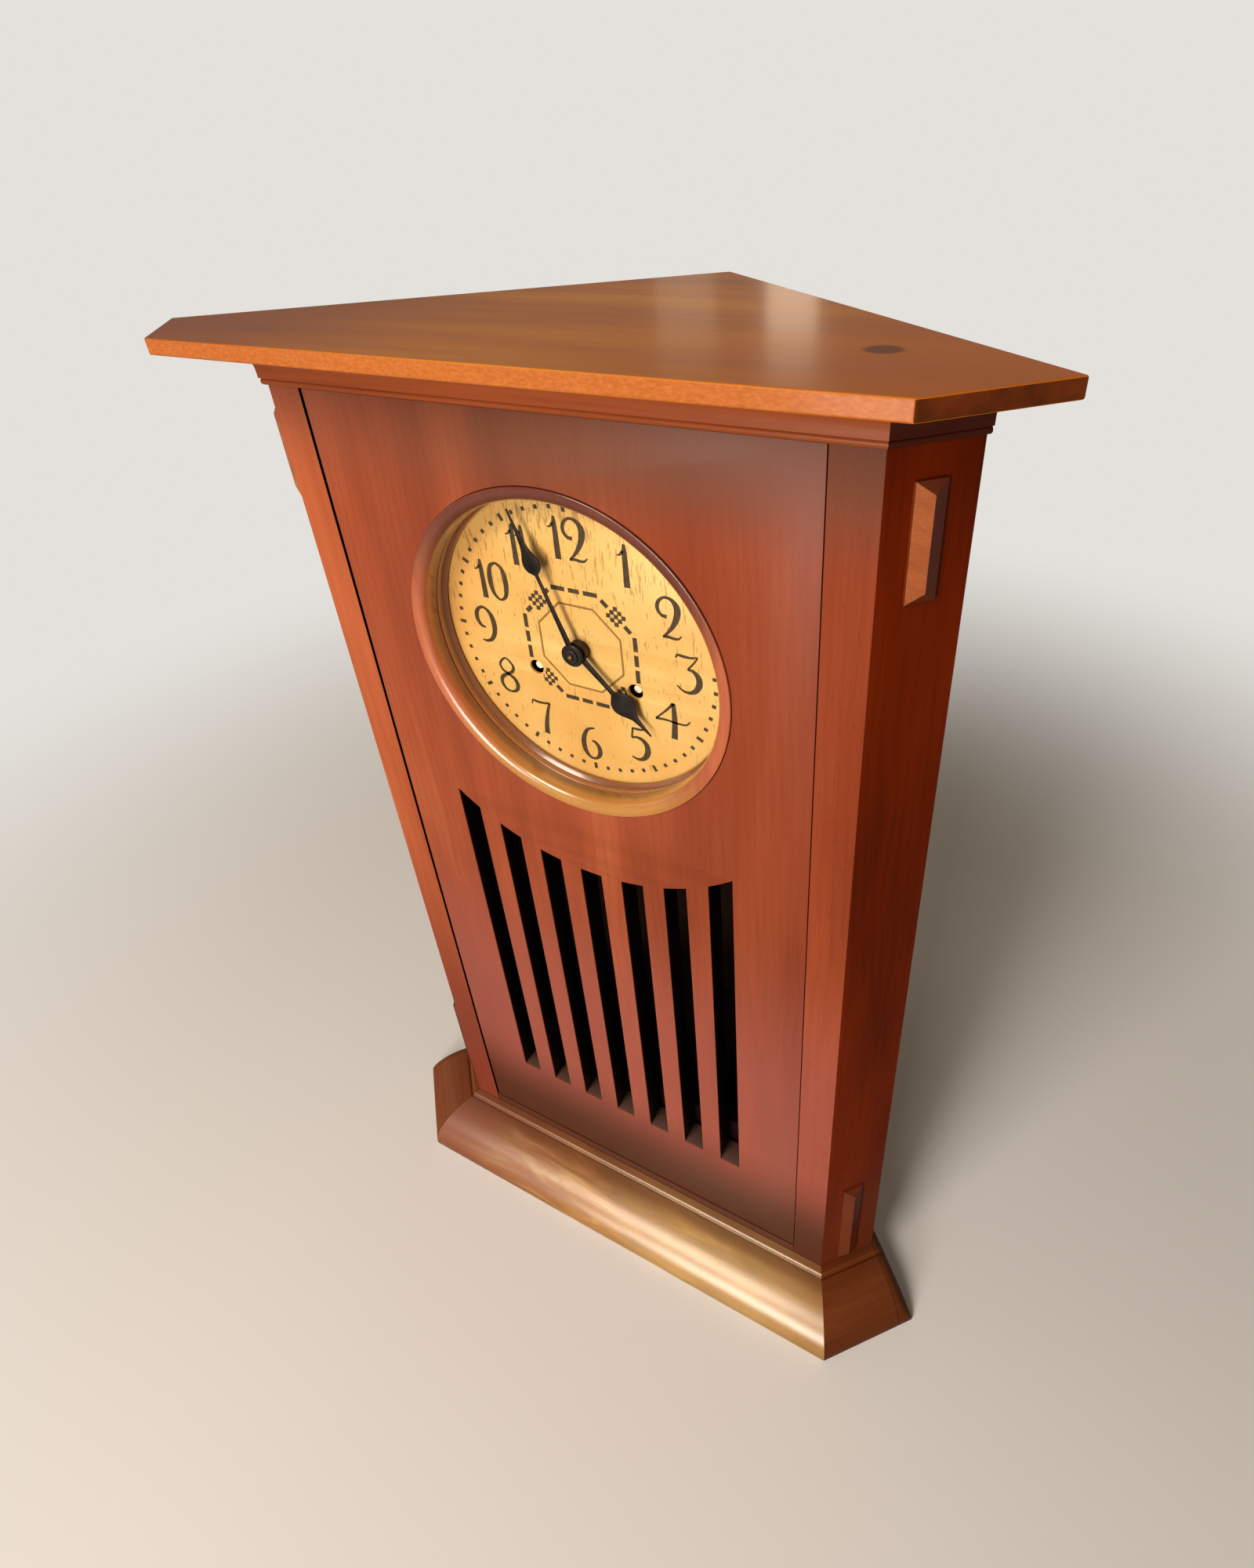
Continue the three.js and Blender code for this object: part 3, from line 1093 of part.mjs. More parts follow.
function makeStrikeTrain() {
  const second = joined(
    shaft(strikeSecondPlace),
    wheelAt(strikeSecondPlace, SECOND_TEETH, SECOND_MODULE,
      angleTo(strikeSecondPlace, pinWheelPlace), layer(SECOND_LAYER)),
    pinionAt(strikeSecondPlace, SECOND_LEAVES, GREAT_MODULE,
      angleTo(strikeSecondPlace, windingPlace(-1)), layer(GREAT_LAYER)),
  );
  add('strike_second_arbor', second, BRASS);

  const pinFront = layer(CENTRE_LAYER);
  const lifting = Array.from({ length: LIFTING_PINS }, (_, i) => {
    const angle = (2 * Math.PI * (i + LIFTING_SHARE)) / LIFTING_PINS;
    return rod(LIFTING_PIN_RADIUS, pinFront - LIFTING_PIN_LENGTH, pinFront + WHEEL_THICKNESS / 2,
      offset(pinWheelPlace, LIFTING_PIN_CIRCLE, angle), SMALL_STEPS);
  });
  const teeth = wheelOutline(PIN_WHEEL_TEETH, PIN_WHEEL_MODULE, angleTo(pinWheelPlace, flyPlace));
  const disc = plate(moved(teeth, ...pinWheelPlace), pinFront, pinFront + WHEEL_THICKNESS);
  const pinWheel = joined(
    shaft(pinWheelPlace),
    disc,
    pinionAt(pinWheelPlace, PIN_WHEEL_LEAVES, SECOND_MODULE,
      angleTo(pinWheelPlace, strikeSecondPlace), layer(SECOND_LAYER)),
    ...lifting,
  );
  add('pin_wheel', pinWheel, BRASS);

  const [x, z] = flyPlace;
  const [halfWidth, halfThickness] = [FLY_VANE_WIDTH / 2, FLY_VANE_THICKNESS / 2];
  const vaneOutline = rectangle(x - halfWidth, x + halfWidth, z - halfThickness, z + halfThickness);
  const vane = plate(vaneOutline, layer(FLY_LAYER), layer(FLY_LAYER) + FLY_VANE_LENGTH);
  const fly = joined(
    shaft(flyPlace),
    vane,
    pinionAt(flyPlace, FLY_LEAVES, PIN_WHEEL_MODULE, angleTo(flyPlace, pinWheelPlace),
      layer(CENTRE_LAYER)),
  );
  add('fly', fly, BRASS);
}

// A straight flat bar between two places.
function bar(from, to, width, front, back) {
  const along = angleTo(from, to);
  const side = along + Math.PI / 2;
  const outline = [
    offset(from, -width / 2, side),
    offset(to, -width / 2, side),
    offset(to, width / 2, side),
    offset(from, width / 2, side),
  ];
  return plate(outline, front, back);
}

function makeStrike() {
  const front = layer(HAMMER_LAYER);
  const headPlace = [hammerPlace[0] - HAMMER_ARM_REACH, hammerPlace[1] - HAMMER_ARM_DROP];
  const tailPlace = [hammerPlace[0] + HAMMER_TAIL_REACH, hammerPlace[1] + HAMMER_TAIL_RISE];
  const armEnd = offset(headPlace, HAMMER_HEAD_RADIUS + FIT, angleTo(headPlace, hammerPlace));
  const tailFront = layer(CENTRE_LAYER) - LIFTING_PIN_LENGTH;
  const arm = joined(
    shaft(hammerPlace, HAMMER_SHAFT_RADIUS),
    bar(hammerPlace, armEnd, HAMMER_ARM_WIDTH, front, front + HAMMER_ARM_WIDTH),
    bar(hammerPlace, tailPlace, HAMMER_ARM_WIDTH, tailFront, tailFront + HAMMER_ARM_WIDTH),
  );
  add('hammer_arbor', arm, STEEL);
  const middle = front + HAMMER_ARM_WIDTH / 2;
  const head = new THREE.CylinderGeometry(
    HAMMER_HEAD_RADIUS, HAMMER_HEAD_RADIUS, HAMMER_HEAD_LENGTH, ROUND_STEPS);
  add('hammer_head', bodyOf(head.translate(headPlace[0], middle, headPlace[1])), BRASS);

  const rodX = headPlace[0] - HAMMER_HEAD_RADIUS - GONG_GAP - GONG_ROD_RADIUS;
  const blockTop = seatTop + GONG_BLOCK_HEIGHT;
  const rodYs = [middle - GONG_ROD_SPACING / 2, middle + GONG_ROD_SPACING / 2];
  const blockOutline = rectangle(rodX - GONG_BLOCK_WIDTH / 2, rodX + GONG_BLOCK_WIDTH / 2,
    middle - GONG_BLOCK_DEPTH / 2, middle + GONG_BLOCK_DEPTH / 2);
  const socketBottom = blockTop - GONG_SOCKET;
  const sockets = rodYs.map(
    (y) => post(GONG_ROD_RADIUS + FIT, socketBottom, blockTop + OVERRUN, rodX, y));
  add('gong_block', cut(upright(blockOutline, seatTop, blockTop), ...sockets), IRON);
  ['front', 'rear'].forEach((name, i) => {
    const low = socketBottom + FIT;
    add(`gong_rod_${name}`, post(GONG_ROD_RADIUS, low, low + GONG_ROD_LENGTH, rodX, rodYs[i]), BRASS);
  });
}

function makeEscapement() {
  const [, anchorZ] = anchorPlace;
  const fall = ANCHOR_RISE - ESCAPE_RISE;
  const palletRadius = ESCAPE_RADIUS + PALLET_GAP;
  const tip = polar(palletRadius, PALLET_ANGLE);
  const right = [
    [tip[0], tip[1] - fall],
    [palletRadius + FIT, -fall * ANCHOR_ARM_SHARE],
    [fall * ANCHOR_ARM_SHARE, fall * ANCHOR_WAIST_SHARE],
    [0, fall * ANCHOR_TOP_SHARE],
  ];
  const inner = [
    [0, -fall * ANCHOR_WAIST_SHARE],
    [fall * ANCHOR_ARCH_SHARES[0], -fall * ANCHOR_ARCH_SHARES[1]],
    [tip[0] * PALLET_SHARES[0], (tip[1] - fall) * PALLET_SHARES[1]],
  ];
  const outline = [...right, ...mirrored(right).slice(1), ...mirrored(inner), ...inner.slice(1)];
  const anchorFront = layer(ESCAPE_LAYER) - (ANCHOR_THICKNESS - WHEEL_THICKNESS) / 2;
  const anchor = plate(moved(outline, ...anchorPlace), anchorFront, anchorFront + ANCHOR_THICKNESS);
  const crutchFront = PLATES_BACK + COCK_THICKNESS + FIT;
  const crutchBack = crutchFront + CRUTCH_THICKNESS;
  const crutchEnd = anchorZ - CRUTCH_LENGTH;
  const forkHalf = ROD_WIDTH / 2 + FIT + FORK_TINE;
  const crutch = joined(
    rod(PIVOT_RADIUS * PIVOT_SHARE, insideBack, crutchBack, anchorPlace, SMALL_STEPS),
    plate(rectangle(-CRUTCH_WIDTH / 2, CRUTCH_WIDTH / 2, crutchEnd, anchorZ + CRUTCH_WIDTH),
      crutchFront, crutchBack),
    plate(rectangle(-forkHalf, forkHalf, crutchEnd, crutchEnd + CRUTCH_WIDTH),
      crutchFront, crutchBack),
    ...[-1, 1].map((side) => {
      const tine = [side * forkHalf, side * (forkHalf - FORK_TINE)].sort((a, b) => a - b);
      const outlineOfTine = rectangle(...tine, crutchEnd, crutchEnd + CRUTCH_WIDTH);
      return plate(outlineOfTine, crutchFront, PENDULUM_DEPTH + ROD_THICKNESS);
    }),
  );
  add('anchor', joined(shaft(anchorPlace), anchor, crutch), STEEL);

  const cockFront = PLATES_BACK;
  const armBottom = anchorZ + COCK_ARM_RISE;
  const armTop = armBottom + COCK_ARM_THICKNESS;
  const pivotHole = circle(PIVOT_RADIUS + 2 * FIT, SMALL_STEPS, anchorPlace);
  const foot = plate(
    rectangle(-COCK_HALF_WIDTH, COCK_HALF_WIDTH, anchorZ - COCK_ARM_RISE, armTop),
    cockFront, cockFront + COCK_THICKNESS, [pivotHole]);
  const arm = plate(
    rectangle(-COCK_ARM_HALF_WIDTH, COCK_ARM_HALF_WIDTH, armBottom, armTop),
    cockFront + COCK_THICKNESS / 2, PENDULUM_DEPTH + COCK_ARM_THICKNESS);
  add('back_cock', joined(foot, arm), BRASS);

  const spring = plate(
    rectangle(-SPRING_WIDTH / 2, SPRING_WIDTH / 2, anchorZ - SPRING_DROP + FIT, armBottom),
    PENDULUM_DEPTH - SPRING_THICKNESS / 2, PENDULUM_DEPTH + SPRING_THICKNESS / 2);
  add('suspension_spring', spring, STEEL);
}

function makePendulum() {
  const [, pivotZ] = anchorPlace;
  const bobZ = pivotZ - PENDULUM_LENGTH;
  const [front, back] = [PENDULUM_DEPTH - ROD_THICKNESS / 2, PENDULUM_DEPTH + ROD_THICKNESS / 2];
  const rodBottom = bobZ - BOB_RADIUS - RATING_NUT_THICKNESS - ROD_TAIL;
  const rodTop = pivotZ - SPRING_DROP;
  const threadTop = bobZ - BOB_RADIUS + FIT;
  const rodBody = joined(
    plate(rectangle(-ROD_WIDTH / 2, ROD_WIDTH / 2, threadTop, rodTop), front, back),
    post(ROD_THICKNESS / 2, rodBottom, threadTop + ROD_WIDTH, 0, PENDULUM_DEPTH),
  );
  add('pendulum_rod', rodBody, BRASS);

  const half = BOB_THICKNESS / 2;
  const bobProfile = [
    ...arc([0, PENDULUM_DEPTH - BOB_EDGE / 2], BOB_RADIUS, half - BOB_EDGE / 2, -Math.PI / 2, 0, 4),
    ...arc([0, PENDULUM_DEPTH + BOB_EDGE / 2], BOB_RADIUS, half - BOB_EDGE / 2, 0, Math.PI / 2, 4),
  ];
  const channel = upright(
    rectangle(-ROD_WIDTH / 2 - FIT, ROD_WIDTH / 2 + FIT, front - FIT, back + FIT),
    bobZ - BOB_RADIUS - OVERRUN, bobZ + BOB_RADIUS + OVERRUN);
  add('pendulum_bob', cut(turned(bobProfile, [0, bobZ], LARGE_STEPS), channel), BRASS);

  const nutTop = bobZ - BOB_RADIUS - FIT;
  const nut = post(RATING_NUT_RADIUS, nutTop - RATING_NUT_THICKNESS, nutTop, 0, PENDULUM_DEPTH);
  add('rating_nut', cut(nut, post(ROD_THICKNESS / 2 + RUN, rodBottom, bobZ, 0, PENDULUM_DEPTH)), BRASS);
}

makeTop();
wrap('crown', crownProfile(), CASE_HEIGHT - CROWN_HEIGHT);
makeCarcass();
makeRails();
wrap('base', baseProfile(), 0);
makeBaseBacks();
makeDoor();
makeRing();
makeSeat();
makeDial();
makeHands();
makeMotionWork();
makePlates();
makeWinding('time', 1, secondPlace);
makeWinding('strike', -1, strikeSecondPlace);
makeGoingTrain();
makeStrikeTrain();
makeStrike();
makeEscapement();
makePendulum();

// The outline runs from the base moulding's front to the rear corner of the base back boards.
const backEdge = SIDE_LENGTH + FIT + BASE_BACK_THICKNESS;
const outlineBack = sidePlace(backEdge, middleOut(backEdge))[1];
clock.position.y = (BASE_PROJECTION - outlineBack) / 2;

export default clock;
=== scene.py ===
"""Looks for a five-sided wooden corner clock that stands on a shelf.

Cherry boards with a satin varnish, a turned bezel ring, an aged brass-coloured dial with
printed numbers, blackened steel hands and a brass movement inside. Sizes are in millimetres
in the maker's own frame, where y = 0 is the case's front plane, and are turned to metres and
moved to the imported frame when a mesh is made.
"""

from __future__ import annotations

import json
import logging
import math
from dataclasses import dataclass
from enum import Enum
from typing import Iterable, Sequence

import bmesh
import bpy
import numpy as np
from mathutils import Matrix, Vector

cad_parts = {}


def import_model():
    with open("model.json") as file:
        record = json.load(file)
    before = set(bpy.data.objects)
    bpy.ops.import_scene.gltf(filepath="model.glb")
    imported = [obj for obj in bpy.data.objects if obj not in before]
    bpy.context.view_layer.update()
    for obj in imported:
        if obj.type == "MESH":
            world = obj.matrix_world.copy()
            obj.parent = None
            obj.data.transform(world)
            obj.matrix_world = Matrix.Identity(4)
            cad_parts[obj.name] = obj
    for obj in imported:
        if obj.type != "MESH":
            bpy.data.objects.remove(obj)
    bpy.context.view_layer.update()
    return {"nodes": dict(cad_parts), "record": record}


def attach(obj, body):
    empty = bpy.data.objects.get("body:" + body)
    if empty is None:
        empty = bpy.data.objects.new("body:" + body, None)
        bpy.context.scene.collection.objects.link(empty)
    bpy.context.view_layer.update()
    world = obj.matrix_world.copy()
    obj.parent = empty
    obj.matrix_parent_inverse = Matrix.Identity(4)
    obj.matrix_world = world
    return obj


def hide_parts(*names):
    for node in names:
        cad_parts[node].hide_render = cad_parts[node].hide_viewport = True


LOG = logging.getLogger("corner_clock")

MM = 0.001
CASE_SHIFT = -90.8114  # the case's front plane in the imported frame
CASE_HEIGHT = 635.8
HALF_WIDTH = 151.5  # half the case's width at its front
SIDE_LENGTH = 40.0  # a narrow side's length in plan
BOARD_STOCK = 14.5
DIAL_Z = 490.5  # height of the hands' axis
DIAGONAL = math.sqrt(0.5)
MITRE = math.tan(math.pi / 8)
SMOOTH_ANGLE = math.radians(32)  # a sharper corner stays a crisp edge
BEVEL_ANGLE = math.radians(30)
WELD = 1e-6  # metres between two corners that are one
SIDES = {"left": -1, "right": 1}

Socket = bpy.types.NodeSocket
Faces = list[tuple[int, ...]]
Stroke = list[tuple[float, float, float]]


# ---------------------------------------------------------------- meshes


def metres(points: np.ndarray) -> np.ndarray:
    """Turn case millimetres into frame metres.

    Args:
        points: Any array whose last axis is x, y, z.

    Returns:
        The same shape, moved by CASE_SHIFT along y and scaled.
    """
    moved = np.array(points, float)
    moved[..., 1] += CASE_SHIFT
    return moved * MM


def link(piece: bpy.types.Object) -> bpy.types.Object:
    """Put an object into the scene and return it."""
    bpy.context.scene.collection.objects.link(piece)
    return piece


def smooth(mesh: bpy.types.Mesh) -> None:
    """Shade a mesh smooth between its crisp edges."""
    mesh.shade_smooth()
    mesh.set_sharp_from_angle(angle=SMOOTH_ANGLE)


def add_mesh(name: str, points: np.ndarray, faces: Faces, flat: bool = False) -> bpy.types.Object:
    """Make a closed mesh whose faces point outwards.

    The signed volume is the sum over each face's fan of a . (b x c); where it is below zero
    every face is turned round.

    Args:
        name: The piece's name.
        points: Corners in case millimetres, the last axis x, y, z.
        faces: Corner numbers of each face.
        flat: True leaves every face flat.

    Returns:
        The linked object, at the origin.
    """
    place = metres(points).reshape(-1, 3)
    volume = 0.0
    for size in sorted({len(face) for face in faces}):
        same = np.array([face for face in faces if len(face) == size])
        for k in range(1, size - 1):
            a, b, c = place[same[:, 0]], place[same[:, k]], place[same[:, k + 1]]
            volume += float(np.einsum("ij,ij->i", a, np.cross(b, c)).sum())
    if volume < 0:
        faces = [face[::-1] for face in faces]
    mesh = bpy.data.meshes.new(name)
    mesh.from_pydata(place.tolist(), [], faces)
    mesh.validate()
    if flat:
        mesh.shade_flat()
    else:
        smooth(mesh)
    return link(bpy.data.objects.new(name, mesh))


def grid_faces(rows: int, columns: int, close_rows: bool) -> Faces:
    """Number the four-sided faces of a grid whose rows each close on themselves.

    Args:
        rows: How many rows the grid has.
        columns: How many points a row has.
        close_rows: True joins the last row to the first.

    Returns:
        The faces, each as four point numbers.
    """
    r = np.arange(rows if close_rows else rows - 1)[:, None]
    c = np.arange(columns)[None, :]
    r2, c2 = (r + 1) % rows, (c + 1) % columns
    corners = (r * columns + c, r * columns + c2, r2 * columns + c2, r2 * columns + c)
    quads = np.stack(np.broadcast_arrays(*corners), -1)
    return [tuple(quad) for quad in quads.reshape(-1, 4).tolist()]


def tube_faces(steps: int, around: int) -> Faces:
    """Number a closed tube's faces: a wall of steps times around points, then both ends."""
    first, last = range(around - 1, -1, -1), range((steps - 1) * around, steps * around)
    return [*grid_faces(steps, around, False), tuple(first), tuple(last)]


def sweep(name: str, sections: np.ndarray) -> bpy.types.Object:
    """Join closed sections, an array of (steps, around, 3), and close both ends."""
    return add_mesh(name, sections, tube_faces(*sections.shape[:2]))


def spin(profile: np.ndarray, segments: int) -> np.ndarray:
    """Turn a profile about the hands' axis.

    The surface is x = r(v) sin(u), y = y(v), z = DIAL_Z + r(v) cos(u).

    Args:
        profile: Rows of (radius, y).
        segments: Steps round the axis.

    Returns:
        Points of shape (segments, rows of the profile, 3).
    """
    angle = np.linspace(0, 2 * math.pi, segments, endpoint=False)[:, None]
    radius, depth = profile[None, :, 0], profile[None, :, 1]
    deep = np.broadcast_to(depth, (segments, len(profile)))
    return np.stack([radius * np.sin(angle), deep, DIAL_Z + radius * np.cos(angle)], -1)


def turned_ring(name: str, profile: np.ndarray, segments: int) -> bpy.types.Object:
    """Turn a closed loop of (radius, y) rows into a ring about the hands' axis."""
    return add_mesh(name, spin(profile, segments), grid_faces(segments, len(profile), True))


def turned_solid(name: str, profile: np.ndarray, segments: int = 64) -> bpy.types.Object:
    """Turn an open profile of (radius, y) rows and close its ends with flat discs."""
    return sweep(name, spin(profile, segments).transpose(1, 0, 2))


def prism(name: str, outline: np.ndarray, low: float, high: float, edge: float) -> bpy.types.Object:
    """Raise a plan outline from z = low to z = high and ease its edges.

    Args:
        name: The piece's name.
        outline: Rows of (x, y).
        low: Height of the underside.
        high: Height of the upper side.
        edge: Width of the rounding, as a maker takes sharp edges off with fine paper.

    Returns:
        The finished piece, with a Bevel modifier.
    """
    levels = [np.column_stack([outline, np.full(len(outline), z)]) for z in (low, high)]
    piece = sweep(name, np.stack(levels))
    bevel = piece.modifiers.new("eased_edges", "BEVEL")
    bevel.width = edge * MM
    bevel.segments = 3
    bevel.limit_method = "ANGLE"
    bevel.angle_limit = BEVEL_ANGLE
    bevel.harden_normals = True
    return piece


def flat_cut(name: str, outlines: Iterable[np.ndarray], front: float, back: float,
             edge: float) -> bpy.types.Object:
    """Cut a sheet or board to a front outline, with holes, and ease its edges.

    A flat curve with a filled face carries the outlines; its bevel rounds every edge, holes
    too. It is made a mesh before it is stood upright.

    Args:
        name: The piece's name.
        outlines: The outer outline first, then holes, rows of (x, z).
        front: y of the front face.
        back: y of the back face.
        edge: Rounding of the edges.

    Returns:
        The finished piece.
    """
    curve = bpy.data.curves.new(name, "CURVE")
    curve.dimensions = "2D"
    curve.fill_mode = "BOTH"
    for outline in outlines:
        spline = curve.splines.new("POLY")
        spline.points.add(len(outline) - 1)
        flat = np.column_stack([outline * MM, np.zeros(len(outline)), np.ones(len(outline))])
        spline.points.foreach_set("co", flat.ravel())
        spline.use_cyclic_u = True
    curve.extrude = ((back - front) / 2 - edge) * MM
    curve.bevel_depth = edge * MM
    curve.bevel_resolution = 1
    curve.offset = -edge * MM
    drawn = link(bpy.data.objects.new(name + "_drawn", curve))
    bpy.context.view_layer.update()
    mesh = bpy.data.meshes.new_from_object(drawn)
    bpy.data.objects.remove(drawn)
    mesh.name = name
    middle = Matrix.Translation((0, ((front + back) / 2 + CASE_SHIFT) * MM, 0))
    mesh.transform(middle @ Matrix.Rotation(math.pi / 2, 4, "X"))
    weld(mesh)
    smooth(mesh)
    return link(bpy.data.objects.new(name, mesh))


def weld(mesh: bpy.types.Mesh) -> None:
    """Join a mesh's doubled corners and turn its faces outwards.

    Args:
        mesh: The mesh, changed in place.
    """
    work = bmesh.new()
    work.from_mesh(mesh)
    bmesh.ops.remove_doubles(work, verts=work.verts, dist=WELD)
    bmesh.ops.recalc_face_normals(work, faces=work.faces)
    work.to_mesh(mesh)
    work.free()


def circle(radius: float, steps: int, x: float = 0.0, z: float = 0.0) -> np.ndarray:
    """A circle that far from the hands' axis: (x + r cos a, DIAL_Z + z + r sin a)."""
    angle = np.linspace(0, 2 * math.pi, steps, endpoint=False)
    return np.column_stack([x + radius * np.cos(angle), DIAL_Z + z + radius * np.sin(angle)])


def arc(centre: tuple[float, float], rx: float, ry: float, start: float, end: float,
        steps: int) -> np.ndarray:
    """Part of an ellipse between two angles in degrees: (cx + rx cos a, cy + ry sin a)."""
    angle = np.radians(np.linspace(start, end, steps))
    return np.column_stack([centre[0] + rx * np.cos(angle), centre[1] + ry * np.sin(angle)])


def smooth_path(knots: np.ndarray, steps: int) -> np.ndarray:
    """Carry a smooth curve through knots.

    Each span is a Catmull-Rom cubic of its four nearest knots, worked out for all spans at
    once: 0.5 (2b + (c-a)t + (2a-5b+4c-d)t^2 + (3b-a-3c+d)t^3).

    Args:
        knots: Rows of values, at least two.
        steps: Points in each span.

    Returns:
        The curve's points, the last knot among them.
    """
    full = np.vstack([2 * knots[:1] - knots[1:2], knots, 2 * knots[-1:] - knots[-2:-1]])
    a, b, c, d = (v[:, None, :] for v in (full[:-3], full[1:-2], full[2:-1], full[3:]))
    t = np.linspace(0, 1, steps, endpoint=False)[None, :, None]
    curve = 0.5 * (2 * b + (c - a) * t + (2 * a - 5 * b + 4 * c - d) * t**2
                   + (3 * b - a - 3 * c + d) * t**3)
    return np.vstack([curve.reshape(-1, knots.shape[1]), knots[-1:]])


def side_place(along: float, out: float) -> tuple[float, float]:
    """The plan place that far along the right side from its front corner, and out from it."""
    return HALF_WIDTH + (along + out) * DIAGONAL, (along - out) * DIAGONAL


# ---------------------------------------------------------------- materials


TIMES = {"operation": "MULTIPLY"}
TIMES_PLUS = {"operation": "MULTIPLY_ADD"}
MINUS = {"operation": "SUBTRACT"}
ABOVE = {"operation": "GREATER_THAN"}
BELOW = {"operation": "LESS_THAN"}
SIZE = {"operation": "ABSOLUTE"}
LARGER = {"operation": "MAXIMUM"}
COLOUR = {"data_type": "RGBA"}
SOFT = {"interpolation_type": "SMOOTHSTEP"}
LOOKS = 0.5  # a normal's part along an axis above which its face looks that way


def srgb(hex_value: str) -> tuple[float, float, float, float]:
    """Turn an sRGB hex colour into linear RGBA.

    Args:
        hex_value: Six hex digits, such as 8a4526.

    Returns:
        Red, green, blue and an alpha of 1.
    """
    parts = [int(hex_value[i:i + 2], 16) / 255 for i in (0, 2, 4)]
    linear = [p / 12.92 if p <= 0.04045 else ((p + 0.055) / 1.055) ** 2.4 for p in parts]
    return linear[0], linear[1], linear[2], 1.0


class Axis(Enum):
    """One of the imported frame's three directions, with its place among x, y and z."""

    X = 0
    Y = 1
    Z = 2


class Nodes:
    """The node tree of a material or of the world, and the one function that adds to it."""

    def __init__(self, owner: bpy.types.Material | bpy.types.World) -> None:
        """Turn the owner's nodes on."""
        owner.use_nodes = True
        self.tree = owner.node_tree

    def join(self, value: object, socket: Socket) -> None:
        """Link a socket to an input, or set the input's own value; None leaves it.

        Args:
            value: The socket or the value.
            socket: The input.
        """
        if isinstance(value, Socket):
            self.tree.links.new(value, socket)
        elif value is not None:
            socket.default_value = value

    def add(self, kind: str, *values: object, out: int | str = 0,
            stops: Sequence[tuple[float, str]] = (), **settings: object) -> Socket:
        """Add a node with its settings, values and links.

        Args:
            kind: The node's type name after ShaderNode, such as Math.
            *values: Values or sockets for its live inputs, in their order.
            out: The output that is wanted, by name or by its place among the live ones.
            stops: A colour ramp's rows of (place, hex colour).
            **settings: Properties of the node.

        Returns:
            The output.
        """
        made = self.tree.nodes.new("ShaderNode" + kind)
        for key, value in settings.items():
            setattr(made, key, value)
        if stops:
            band = made.color_ramp.elements
            while len(band) < len(stops):
                band.new(0.5)
            for element, (place, colour) in zip(band, stops):
                element.position, element.color = place, srgb(colour)
        for value, socket in zip(values, [s for s in made.inputs if s.enabled]):
            self.join(value, socket)
        if isinstance(out, str):
            return made.outputs[out]
        return [s for s in made.outputs if s.enabled][out]


class Surface(Nodes):
    """A material under work, with its Principled shader and the place its patterns read."""

    def __init__(self, name: str) -> None:
        """Start the material.

        Args:
            name: The material's name.
        """
        self.material = bpy.data.materials.new(name)
        super().__init__(self.material)
        self.shader = self.tree.nodes["Principled BSDF"]
        self.place = self.add("TexCoord", out="Object")

    def axis(self, axis: Axis, of: str = "Object") -> Socket:
        """The place's distance along an axis in metres, or the Normal's part along it."""
        return self.add("SeparateXYZ", self.add("TexCoord", out=of), out=axis.value)

    def streaks(self, scale: tuple[float, float, float], detail: float,
                place: Socket | None = None, distortion: float = 0.0) -> Socket:
        """Noise of (x, y, z) times a scale in units to the metre, so that it is drawn out."""
        fitted = self.add("Mapping", self.place if place is None else place, None, None, scale)
        return self.add("TexNoise", fitted, 1.0, detail, None, None, distortion)

    def stain(self, colour: Socket, stains: Iterable[tuple[Socket, str]]) -> Socket:
        """Lay stains over a colour, one after another.

        Args:
            colour: The colour under them.
            stains: Rows of (how much of it shows, hex colour).

        Returns:
            The colour with its stains.
        """
        for amount, hex_value in stains:
            colour = self.add("Mix", amount, colour, srgb(hex_value), **COLOUR)
        return colour

    def finish(self, inputs: dict[str, object]) -> bpy.types.Material:
        """Give the shader its inputs.

        Args:
            inputs: Values and sockets by the input's name.

        Returns:
            The material.
        """
        for name, value in inputs.items():
            self.join(value, self.shader.inputs[name])
        return self.material


class Grain(Enum):
    """Which way a board's grain runs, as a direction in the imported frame."""

    UPRIGHT = (0.0, 0.0, 1.0)
    ACROSS = (1.0, 0.0, 0.0)
    ALONG_LEFT = (-DIAGONAL, DIAGONAL, 0.0)
    ALONG_RIGHT = (DIAGONAL, DIAGONAL, 0.0)


@dataclass(frozen=True)
class Hidden:
    """The part of a board that lies inside the case, whose colour is painted for the light
    there: dark as painted shade, or lighter as painted light.

    A place is inside where across * |x| + depth * y is less than limit, in case millimetres.
    """

    across: float
    depth: float
    limit: float
    # the inside colour; this dark default is painted shade
    colour: str = "1a0b07"

    def darken(self, work: Surface, colour: Socket) -> Socket:
        """Blend the inside colour in.

        Args:
            work: The board's material.
            colour: The colour of the board where it shows.

        Returns:
            The blended colour.
        """
        add = work.add
        side = add("Math", add("Math", work.axis(Axis.X), **SIZE), self.across, **TIMES)
        reach = add("Math", work.axis(Axis.Y), self.depth, side, **TIMES_PLUS)
        edge = (self.limit + self.depth * CASE_SHIFT) * MM
        return work.stain(colour, [(add("Math", reach, edge, **BELOW), self.colour)])


@dataclass(frozen=True)
class Tint:
    """A stain that grows from one place to another along x, y or z.

    Its share of the colour runs smoothly from 0 at start to full at end, both in metres in
    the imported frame; end may lie below start.
    """

    axis: Axis
    start: float
    end: float
    share: float
    colour: str

    def lay(self, work: Surface, colour: Socket) -> Socket:
        """Blend the stain in.

        Args:
            work: The board's material.
            colour: The colour under it.

        Returns:
            The blended colour.
        """
        span = sorted((self.start, self.end))
        shares = (0.0, self.share) if self.end > self.start else (self.share, 0.0)
        amount = work.add("MapRange", work.axis(self.axis), *span, *shares, **SOFT)
        return work.stain(colour, [(amount, self.colour)])


Colours = tuple[str, str, str]


